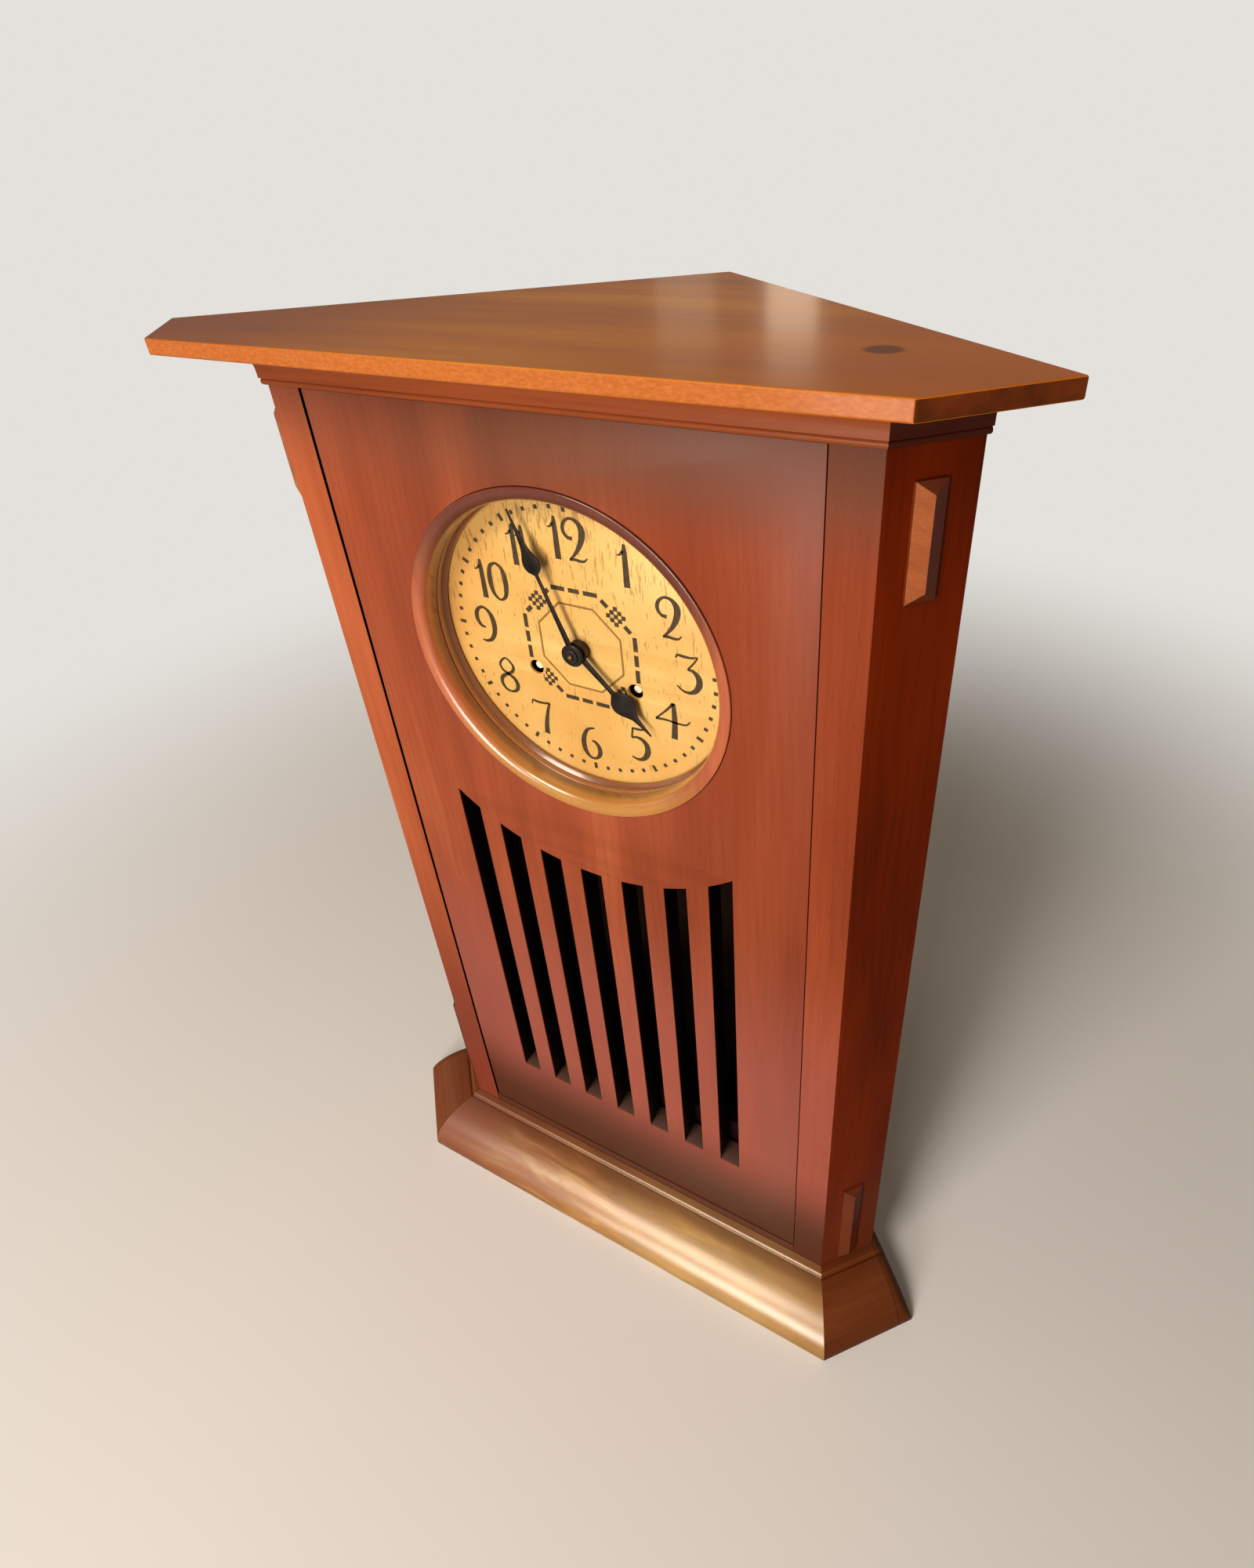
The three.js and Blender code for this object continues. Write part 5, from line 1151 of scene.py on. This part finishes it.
@dataclass
class Door:
    """The door panel with its round opening and seven slots, and the turned ring."""

    left: float = -129.3
    right: float = 130.62
    bottom: float = 37.0
    top: float = 614.8
    edge: float = 0.2
    slots: int = 7
    slot_width: float = 14.2
    slot_pitch: float = 27.6
    slot_bottom: float = 104.8
    slot_arc: float = 140.9
    ring_radius: float = 91.5
    ring_gap: float = 0.25
    ring_back: float = 17.9
    ring_segments: int = 224

    def slot_outline(self, index: int) -> np.ndarray:
        """One slot: a square foot and a top that follows an arc about the dial's axis.

        The top's height at x is the dial's centre less sqrt(arc^2 - x^2).

        Args:
            index: Which slot, from the left.

        Returns:
            Rows of (x, z).
        """
        centre = (index - (self.slots - 1) / 2) * self.slot_pitch
        left, right = centre - self.slot_width / 2, centre + self.slot_width / 2
        x = np.linspace(right, left, 9)
        top = np.column_stack([x, DIAL_Z - np.sqrt(self.slot_arc**2 - x**2)])
        return np.vstack([[[left, self.slot_bottom], [right, self.slot_bottom]], top])

    def ring_profile(self) -> np.ndarray:
        """The ring's section: a roll that runs down inside, a fine bead, a wall and a lip.

        Returns:
            Closed loop of (radius, y) rows.
        """
        rim, back = self.ring_radius, self.ring_back
        return np.vstack([
            arc((90.85, -0.4), 0.6, 0.55, 0, -88, 12),
            arc((89.5, 3.05), 5.1, 4.0, -90, -180, 40),
            [[84.4, 9.6], [84.9, 10.05]],
            arc((85.2, 11.3), 0.85, 0.85, -100, -260, 14),
            [[85.1, 14.6], [84.3, 15.3], [83.5, 16.3], [83.4, back - 0.3], [83.7, back],
             [rim, back], [rim, 0.6]]])

    def build(self, finishes: Finishes) -> None:
        """Make the panel and the ring.

        Args:
            finishes: The clock's materials.
        """
        board = np.array([[self.left, self.bottom], [self.right, self.bottom],
                          [self.right, self.top], [self.left, self.top]])
        outlines = [board, circle(self.ring_radius + self.ring_gap, 192)]
        outlines += [self.slot_outline(index) for index in range(self.slots)]
        panel = flat_cut("door_board_slotted", outlines, 0.0, BOARD_STOCK, self.edge)
        seat(panel, finishes["door"], "door", "door_panel")
        ring = turned_ring("bezel_ring_turned", self.ring_profile(), self.ring_segments)
        seat(ring, finishes["ring"], "door", "bezel_ring")


# ---------------------------------------------------------------- dial and hands


# Each number is drawn with a broad pen: rows of x, z and the pen's width, in millimetres from
# the figure's lower left corner. The figures stand 22 mm high.
FIGURES: dict[str, list[Stroke]] = {
    "0": [[(6.3, 21.8, 1.2), (2.6, 18.8, 2.1), (1.4, 11.2, 2.9), (2.6, 3.6, 2.1),
           (6.3, 0.6, 1.2), (10.0, 3.6, 2.1), (11.2, 11.2, 2.9), (10.0, 18.8, 2.1),
           (6.3, 21.8, 1.2)]],
    "1": [[(4.2, 22.2, 1.3), (4.2, 18.0, 2.4), (4.2, 9.0, 2.8), (4.2, 0.0, 3.1)],
          [(0.0, 16.2, 0.6), (1.6, 16.6, 1.0), (3.4, 18.6, 1.5)]],
    "2": [[(5.9, 11.9, 2.0), (3.0, 12.6, 1.6), (1.2, 15.6, 1.8), (1.9, 19.4, 1.7),
           (5.0, 22.0, 1.3), (8.8, 21.4, 1.8), (11.4, 18.0, 3.0), (11.4, 13.6, 3.1),
           (9.4, 8.4, 2.3), (6.2, 3.8, 1.4), (3.3, 0.9, 0.9)],
          [(3.1, 0.6, 0.8), (6.0, 1.3, 1.5), (9.2, 0.9, 1.4), (11.6, 1.3, 1.0),
           (13.2, 3.0, 0.6)]],
    "3": [[(0.9, 19.6, 0.8), (2.0, 21.4, 1.2), (5.0, 21.2, 1.5), (9.0, 21.2, 1.2),
           (12.8, 22.2, 0.8)],
          [(12.6, 21.8, 0.8), (10.2, 18.2, 0.9), (7.2, 14.4, 1.0)],
          [(6.9, 14.3, 1.0), (10.0, 13.8, 1.8), (12.6, 11.0, 2.8), (12.9, 6.6, 3.1),
           (10.6, 2.6, 2.4), (7.2, 0.9, 1.6), (3.8, 1.5, 1.2), (0.8, 3.8, 0.8)]],
    "4": [[(10.9, 22.0, 1.6), (6.6, 16.8, 1.1), (0.8, 10.8, 0.9)],
          [(0.2, 10.5, 1.5), (6.0, 10.9, 1.2), (13.0, 10.4, 1.1), (17.6, 10.8, 1.0),
           (20.0, 13.4, 0.6)],
          [(11.0, 22.2, 1.9), (11.2, 14.0, 2.7), (11.0, 7.0, 2.9), (10.4, 0.0, 3.2)]],
    "5": [[(2.6, 20.9, 1.0), (6.0, 21.0, 1.5), (9.0, 21.4, 1.1), (11.4, 22.6, 0.6)],
          [(3.0, 21.2, 1.1), (2.0, 14.6, 1.1)],
          [(1.9, 14.4, 0.9), (4.8, 15.5, 1.4), (8.4, 14.6, 2.2), (10.8, 11.4, 2.9),
           (10.9, 6.8, 3.1), (8.6, 2.6, 2.4), (5.0, 0.8, 1.6), (1.0, 1.8, 0.9)]],
    "6": [[(9.6, 21.9, 0.9), (5.4, 20.2, 1.6), (2.6, 15.6, 2.4), (1.5, 10.2, 2.9),
           (2.2, 4.6, 2.7), (5.0, 1.0, 1.6), (8.6, 1.2, 1.5), (11.2, 4.6, 2.4), (11.3, 9.0, 2.5),
           (9.4, 12.2, 1.8), (6.9, 12.9, 1.0)]],
    "7": [[(0.3, 18.4, 0.7), (1.2, 20.9, 1.2), (4.6, 20.6, 1.5), (8.6, 20.8, 1.3),
           (12.4, 21.6, 1.2)],
          [(12.2, 21.6, 1.2), (10.6, 17.0, 1.7), (9.0, 10.8, 2.3), (8.0, 5.0, 2.8),
           (7.6, 0.0, 3.2)]],
    "8": [[(6.6, 12.2, 1.6), (3.2, 14.4, 1.4), (2.4, 18.2, 1.4), (6.6, 22.2, 1.1),
           (10.8, 18.2, 1.6), (9.9, 14.4, 1.8), (6.6, 12.2, 1.7), (2.5, 9.4, 2.2),
           (1.3, 5.6, 2.1), (3.2, 1.8, 1.7), (6.6, 0.6, 1.2), (10.4, 2.0, 1.8), (12.0, 5.8, 2.5),
           (10.6, 9.6, 2.2), (6.6, 12.2, 1.6)]],
    "9": [[(2.4, 1.3, 0.8), (5.0, 0.9, 1.4), (8.8, 2.6, 2.0), (11.4, 7.0, 2.6),
           (12.2, 12.4, 3.0), (11.0, 18.0, 2.6), (7.8, 21.4, 1.5), (4.4, 21.2, 1.6),
           (1.6, 17.6, 2.4), (1.5, 13.4, 2.4), (3.4, 10.2, 1.8), (6.2, 9.5, 0.9)]],
}


@dataclass
class Dial:
    """The dial's printed face: numbers, minute track and a plain line ornament."""

    depth: float = 18.5
    radius: float = 87.6
    sheet: tuple[float, float, float] = (0.16, 0.02, 0.03)  # its front, back and edge
    winding: tuple[float, float] = (30.25, -18.5)
    winding_hole: float = 4.25
    centre_hole: float = 4.9
    hole_margin: float = 4.5
    ink_lift: float = 0.17  # from the dial to the ink's back
    ink_height: float = 0.04
    pen_weight: float = 1.12
    dot_circle: float = 75.6
    dot: tuple[float, float] = (1.1, 2.1)  # half its length, and its width
    bar: tuple[float, float] = (2.0, 2.0)
    bold_line: tuple[float, float] = (35.2, 2.5)  # corner radius, and width
    fine_line: tuple[float, float] = (26.2, 1.2)
    lozenge_radius: float = 32.5
    lozenge_pitch: float = 2.15
    lozenge_dot: float = 2.4
    numbers: tuple[tuple[str, float, float], ...] = (
        ("12", -10.4, 48.6), ("1", 26.9, 40.2), ("2", 45.2, 17.0), ("3", 53.6, -12.0),
        ("4", 40.6, -42.0), ("5", 23.4, -63.2), ("6", -7.6, -71.6), ("7", -37.9, -62.6),
        ("8", -57.6, -40.2), ("9", -66.6, -10.2), ("10", -60.4, 18.0), ("11", -36.4, 40.9))

    def pen(self, stroke: np.ndarray) -> tuple[np.ndarray, Faces]:
        """Draw one stroke as a thin closed ribbon.

        The ribbon's edges are the path plus and minus half the width along its normal.

        Args:
            stroke: Rows of x, z and width about the dial's centre.

        Returns:
            The ribbon's points in case millimetres, and its faces.
        """
        path = smooth_path(stroke, 10) if len(stroke) > 2 else stroke
        ahead = np.gradient(path[:, :2], axis=0)
        ahead /= np.linalg.norm(ahead, axis=1, keepdims=True)
        normal = np.column_stack([-ahead[:, 1], ahead[:, 0]]) * path[:, 2:3] / 2
        back = self.depth - self.ink_lift
        front = back - self.ink_height
        corners = [(path[:, :2] + side * normal, y)
                   for side, y in ((1, front), (-1, front), (-1, back), (1, back))]
        ring = np.stack([np.column_stack([xz[:, 0], np.full(len(xz), y), xz[:, 1] + DIAL_Z])
                         for xz, y in corners], 1)
        return ring.reshape(-1, 3), tube_faces(len(path), len(corners))

    def print_strokes(self, name: str, strokes: Iterable[np.ndarray],
                      material: bpy.types.Material) -> None:
        """Print many strokes as one piece.

        Args:
            name: The piece's name.
            strokes: The strokes, about the dial's centre.
            material: The ink.
        """
        points: list[np.ndarray] = []
        faces: Faces = []
        start = 0
        for stroke in strokes:
            ring, quads = self.pen(stroke)
            points.append(ring)
            faces += [tuple(i + start for i in face) for face in quads]
            start += len(ring)
        piece = add_mesh(name, np.vstack(points), faces, flat=True)
        seat(piece, material, "case")

    def number_strokes(self) -> list[np.ndarray]:
        """Every figure's strokes, moved to its place; two-figure numbers set side by side.

        Returns:
            The strokes about the dial's centre.
        """
        found: list[np.ndarray] = []
        for word, x, z in self.numbers:
            step = {"10": 7.6, "11": 5.6, "12": 7.6}.get(word, 0.0)
            for place, figure in enumerate(word):
                found += [np.array(stroke) * [1, 1, self.pen_weight] + [x + place * step, z, 0]
                          for stroke in FIGURES[figure]]
        return found

    def track_strokes(self) -> list[np.ndarray]:
        """The minute track: a small square each minute and a longer bar each five.

        Returns:
            The strokes about the dial's centre.
        """
        found: list[np.ndarray] = []
        for number in range(60):
            turn = number * math.pi / 30
            half, width = self.dot if number % 5 else self.bar
            direction = np.array([math.sin(turn), math.cos(turn)])
            ends = [direction * (self.dot_circle + reach) for reach in (-half, half)]
            found.append(np.array([[*end, width] for end in ends]))
        return found

    def eight_sides(self, line: tuple[float, float], slanted: Sequence[tuple[float, float]],
                    level: Sequence[tuple[float, float]]) -> list[np.ndarray]:
        """Draw an eight-sided line: corner k stands at 45 k + 22.5 degrees.

        Args:
            line: The corners' radius and the pen's width.
            slanted: The drawn spans of a slanted side, as shares of its length.
            level: The drawn spans of an upright or level side.

        Returns:
            Straight strokes.
        """
        radius, width = line
        angle = np.radians(45 * np.arange(9) + 22.5)
        corners = radius * np.column_stack([np.cos(angle), np.sin(angle)])
        found: list[np.ndarray] = []
        for k, (first, last) in enumerate(zip(corners[:-1], corners[1:])):
            for span in level if k % 2 else slanted:
                ends = np.array([first + (last - first) * share for share in span])
                found.append(np.column_stack([ends, np.full(2, width)]))
        return found

    def lozenges(self) -> list[np.ndarray]:
        """Draw a chequered lozenge on each slanted side.

        Returns:
            Short strokes, as long as they are wide.
        """
        found: list[np.ndarray] = []
        half = self.lozenge_dot / 2
        for k in range(4):
            turn = math.radians(45 + 90 * k)
            middle = self.lozenge_radius * np.array([math.cos(turn), math.sin(turn)])
            for column in (-2, -1, 0, 1, 2):
                reach = 2 - abs(column)
                for row in range(-reach, reach + 1):
                    if (row + column) % 2 == 0:
                        x, z = middle + np.array([column, row]) * self.lozenge_pitch
                        found.append(np.array([[x - half, z, 2 * half], [x + half, z, 2 * half]]))
        return found

    def clear_of_holes(self, strokes: Iterable[np.ndarray]) -> list[np.ndarray]:
        """Break straight strokes where a winding hole lies.

        Each stroke is sampled along its length, and only the runs of samples that stay
        further from both holes' centres than the margin are kept.

        Args:
            strokes: Straight strokes of two rows.

        Returns:
            The strokes that are left.
        """
        x, z = self.winding
        centres = np.array([[-x, z], [x, z]])
        kept: list[np.ndarray] = []
        for stroke in strokes:
            points = np.linspace(stroke[0], stroke[-1], 33)
            away = np.linalg.norm(points[:, None, :2] - centres, axis=2).min(axis=1)
            clear = away > self.hole_margin + points[:, 2] / 2
            changes = np.flatnonzero(np.diff(clear.astype(int))) + 1
            runs = np.split(np.arange(len(points)), changes)
            kept += [points[run[[0, -1]]] for run in runs if len(run) > 1 and clear[run[0]]]
        return kept

    def build(self, finishes: Finishes) -> None:
        """Make the face and the print.

        Args:
            finishes: The clock's materials.
        """
        x, z = self.winding
        outlines = [circle(self.radius, 160)]
        outlines += [circle(self.winding_hole, 48, sign * x, z) for sign in SIDES.values()]
        outlines.append(circle(self.centre_hole, 48))
        front, back, edge = self.sheet
        face = flat_cut("dial_face_lacquered", outlines, self.depth - front, self.depth - back,
                        edge)
        seat(face, finishes["dial"], "case")
        bold = self.eight_sides(self.bold_line, [(0.1, 0.27), (0.73, 0.9)],
                                [(0.0, 0.3), (0.38, 0.62), (0.7, 1.0)]) + self.lozenges()
        fine = self.eight_sides(self.fine_line, [(0.0, 1.0)], [(0.0, 1.0)])
        self.print_strokes("dial_numbers", self.number_strokes(), finishes["ink"])
        self.print_strokes("dial_minute_track", self.track_strokes(), finishes["ink"])
        self.print_strokes("dial_ornament_bold", self.clear_of_holes(bold), finishes["ink"])
        self.print_strokes("dial_ornament_fine", self.clear_of_holes(fine), finishes["thin_ink"])


@dataclass(frozen=True)
class Hand:
    """One hand: rows of (distance from the axis, half width), its turn and its hub."""

    word: str
    knots: tuple[tuple[float, float], ...]
    angle: float  # degrees from twelve, clockwise
    front: float
    hub: float
    hub_length: float


@dataclass
class Hands:
    """The two hands, each a bulb on a shaft, and the nut that holds them."""

    thickness: float = 0.9
    edge: float = 0.16
    minute: Hand = Hand(
        "minute", ((2.0, 1.7), (20, 1.25), (42, 0.85), (44.5, 1.6), (46.8, 4.1), (49.8, 5.1),
                   (53.0, 4.5), (56.5, 2.8), (60, 1.75), (66, 1.0), (78.6, 0.22)),
        -20.4, 11.0, 3.7, 0.9)
    hour: Hand = Hand(
        "hour", ((2.0, 1.9), (14, 1.6), (26.5, 1.4), (28.8, 3.0), (31.6, 6.2), (35.5, 7.5),
                 (39.5, 5.9), (43, 3.2), (46.5, 1.6), (57.0, 0.22)),
        135.5, 13.5, 5.7, 3.4)
    nut: tuple[tuple[float, float], ...] = (
        (1.7, 7.9), (2.0, 8.1), (2.0, 8.6), (3.5, 8.6), (3.9, 8.9), (3.9, 9.7), (5.7, 9.75),
        (6.2, 10.2), (6.2, 10.7), (5.8, 10.98))

    def outline(self, hand: Hand) -> np.ndarray:
        """A hand's outline: its knots carried up one edge and down the other, then turned.

        Args:
            hand: The hand.

        Returns:
            Rows of (x, z).
        """
        edge = smooth_path(np.array(hand.knots), 8)
        right = edge[:, ::-1]
        x, z = np.vstack([right, right[::-1] * [-1, 1]]).T
        turn = math.radians(hand.angle)
        cos, sin = math.cos(turn), math.sin(turn)
        return np.column_stack([x * cos + z * sin, z * cos - x * sin + DIAL_Z])

    def build(self, finishes: Finishes) -> None:
        """Make the hands and the nut.

        Args:
            finishes: The clock's materials.
        """
        steel = finishes["black_steel"]
        for hand in (self.minute, self.hour):
            name, front, hub = f"{hand.word}_hand_blade", hand.front, hand.hub
            blade = flat_cut(name, [self.outline(hand)], front, front + self.thickness, self.edge)
            collar = turned_solid(name + "_hub", np.array([
                [hub - 0.5, front - 0.05], [hub, front + 0.25], [hub, front + hand.hub_length]]))
            seat(blade, steel, hand.word, f"{hand.word}_hand")
            seat(collar, steel, hand.word)
        nut = turned_solid("hand_nut_stepped", np.array(self.nut))
        seat(nut, steel, "minute", "hand_nut")


# ---------------------------------------------------------------- the rest


SLOT_FINISHES = {"cherry_case": "inside", "cherry_top": "top", "turned_ring": "ring",
                 "dial_metal": "dial", "blued_steel": "black_steel"}
NODE_FINISHES = {
    "header_rail": "front_rail", "sill_rail": "front_rail", "upper_rail": "rail",
    "lower_rail": "rail", "back_panel_left": "wall", "back_panel_right": "wall",
    "rear_post": "wall", "time_winding_arbor": "bright_brass",
    "strike_winding_arbor": "bright_brass", "side_board_left": "side_right",
    "side_board_right": "side_right", "door_panel": "door"}


def dress_frame(frame: dict, finishes: Finishes) -> None:
    """Give each CAD node a finish by its name or material slot; the case's wood takes the
    near-black inside finish, painted shade.

    Args:
        finishes: The clock's materials.
    """
    slots = {entry["node"]: entry["material_slot"] for entry in frame["record"]["subparts"]}
    for name, piece in frame["nodes"].items():
        by_slot = SLOT_FINISHES.get(slots[name], slots[name])
        dress(piece, finishes[NODE_FINISHES.get(name, by_slot)])


@dataclass(frozen=True)
class Lamp:
    """A soft square lamp, its places and its size in metres."""

    name: str
    place: tuple[float, float, float]
    target: tuple[float, float, float]
    size: float
    power: float
    colour: str

    def hang(self) -> None:
        """Hang the lamp and aim it."""
        data = bpy.data.lights.new(self.name, "AREA")
        data.size = self.size
        data.energy = self.power
        data.color = srgb(self.colour)[:3]
        lamp = link(bpy.data.objects.new(self.name, data))
        lamp.location = self.place
        aim = Vector(self.target) - Vector(self.place)
        lamp.rotation_euler = aim.to_track_quat("-Z", "Y").to_euler()


@dataclass
class Studio:
    """A pale floor, soft lamps and the camera at the photograph's place."""

    lens: float = 18.724
    shift: tuple[float, float] = (-0.04735, -0.0936)
    place: tuple[float, float, float] = (215.8, -268.3, 702.6)
    azimuth: float = math.radians(27.18)
    elevation: float = math.radians(30.54)
    roll: float = -0.0428
    floor_reach: float = 40.0
    floor_seen: str = "f6f8fc"
    floor_lit: str = "8f8b86"
    fade: tuple[float, float] = (0.4, 1.3)  # metres out from the clock
    backdrop: str = "e4e1dc"
    fill: float = 0.17
    fill_colour: str = "e8d2b4"
    gloss_share: float = 0.25
    lamps: tuple[Lamp, ...] = (
        Lamp("key_lamp", (-0.42, -1.65, 1.8), (0.0, 0.0, 0.35), 0.8, 28.0, "fff0dc"),
        Lamp("front_lamp", (-0.06, -1.75, 0.44), (0.0, 0.0, 0.4), 0.7, 21.0, "fff4e8"),
        Lamp("left_lamp", (-1.8, -0.3, 0.9), (0.0, 0.0, 0.35), 1.2, 3.0, "ffe6cc"),
        Lamp("window_lamp", (-1.0, 2.0, 1.0), (0.0, 0.1, 0.64), 0.18, 0.12, "ffe6c8"),
        Lamp("window_lamp_right", (-0.73, 2.2, 1.0), (0.0, 0.1, 0.64), 0.16, 0.42, "ffe6c8"))

    def camera(self) -> None:
        """Stand the camera where the photograph's was, from the solved place and angles.

        It looks along (-sin a cos e, cos a cos e, -sin e), rolled by r about that line.
        """
        a, e, r = self.azimuth, self.elevation, self.roll
        forward = Vector((-math.sin(a) * math.cos(e), math.cos(a) * math.cos(e), -math.sin(e)))
        level = Vector((math.cos(a), math.sin(a), 0))
        upright = level.cross(forward)
        right = level * math.cos(r) + upright * math.sin(r)
        up = upright * math.cos(r) - level * math.sin(r)
        data = bpy.data.cameras.new("studio_camera")
        data.lens = self.lens
        data.sensor_width = 36.0
        data.sensor_fit = "AUTO"
        data.shift_x, data.shift_y = self.shift
        data.clip_start = 0.01
        camera = link(bpy.data.objects.new("studio_camera", data))
        turn = Matrix((right, up, -forward)).transposed().to_4x4()
        camera.matrix_world = Matrix.Translation(metres(np.array(self.place))) @ turn
        bpy.context.scene.camera = camera

    def sees_backdrop(self, work: Nodes) -> Socket:
        """Tell how much of the pale backdrop a ray meets.

        It is all for the camera's rays and those through glass, and a quarter for those that
        gloss sends on, because varnish at a low angle would turn milky in a white room.

        Args:
            work: The floor's or the world's nodes.

        Returns:
            The backdrop's share, 0 for the rays that carry the even light.
        """
        seen, gloss, through = (work.add("LightPath", out=f"Is {kind} Ray")
                                for kind in ("Camera", "Glossy", "Transmission"))
        dimmed = work.add("Math", gloss, self.gloss_share, **TIMES)
        bent = work.add("Math", dimmed, through, **LARGER)
        return work.add("Math", seen, bent, **LARGER)

    def floor(self) -> None:
        """Lay a wide pale floor.

        Near the clock it takes the lamps' light and the clock's shadow. From 0.4 m to 1.3 m
        out it fades to the even tone that the backdrop has, so no horizon shows; the rays
        that carry light always meet the plain floor.
        """
        reach = self.floor_reach
        mesh = bpy.data.meshes.new("studio_floor")
        mesh.from_pydata([(-reach, -reach, 0), (reach, -reach, 0), (reach, reach, 0),
                          (-reach, reach, 0)], [], [(0, 1, 2, 3)])
        floor = link(bpy.data.objects.new("studio_floor", mesh))
        work = Surface("pale_paper_floor")
        add = work.add
        seen = add("LightPath", out="Is Camera Ray")
        pale = add("Mix", seen, srgb(self.floor_lit), srgb(self.floor_seen), **COLOUR)
        even = add("Emission", srgb(self.backdrop), 1.0)
        away = add("VectorMath", work.place, operation="LENGTH")
        far = add("MapRange", away, *self.fade, **SOFT)
        share = add("Math", far, self.sees_backdrop(work), **TIMES)
        blend = add("MixShader", share, work.shader.outputs[0], even)
        work.join(blend, work.tree.nodes["Material Output"].inputs["Surface"])
        paper = {"Base Color": pale, "Roughness": 0.95, "Specular IOR Level": 0.05}
        dress(floor, work.finish(paper))

    def world(self) -> None:
        """Fill the room with weak even light; the camera sees the backdrop's tone instead."""
        world = bpy.data.worlds.new("studio_world")
        bpy.context.scene.world = world
        work = Nodes(world)
        fill = work.tree.nodes["Background"]
        fill.inputs[0].default_value = srgb(self.fill_colour)
        fill.inputs[1].default_value = self.fill
        even = work.add("Background", srgb(self.backdrop), 1.0)
        blend = work.add("MixShader", self.sees_backdrop(work), fill.outputs[0], even)
        work.join(blend, work.tree.nodes["World Output"].inputs["Surface"])

    def build(self) -> None:
        """Set the camera, floor, lamps, world and view."""
        self.camera()
        self.floor()
        for lamp in self.lamps:
            lamp.hang()
        self.world()
        bpy.context.scene.view_settings.view_transform = "Standard"


def main() -> None:
    """Load the frame, build every class in order and report each piece."""
    logging.basicConfig(level=logging.INFO, format="%(name)s: %(message)s")
    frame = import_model()
    Studio().build()
    finishes = {key: recipe.build() for key, recipe in RECIPES.items()}
    dress_frame(frame, finishes)
    for assembly in (Mouldings(), Boards(), Door(), Dial(), Hands()):
        assembly.build(finishes)


if __name__ == "__main__":
    main()
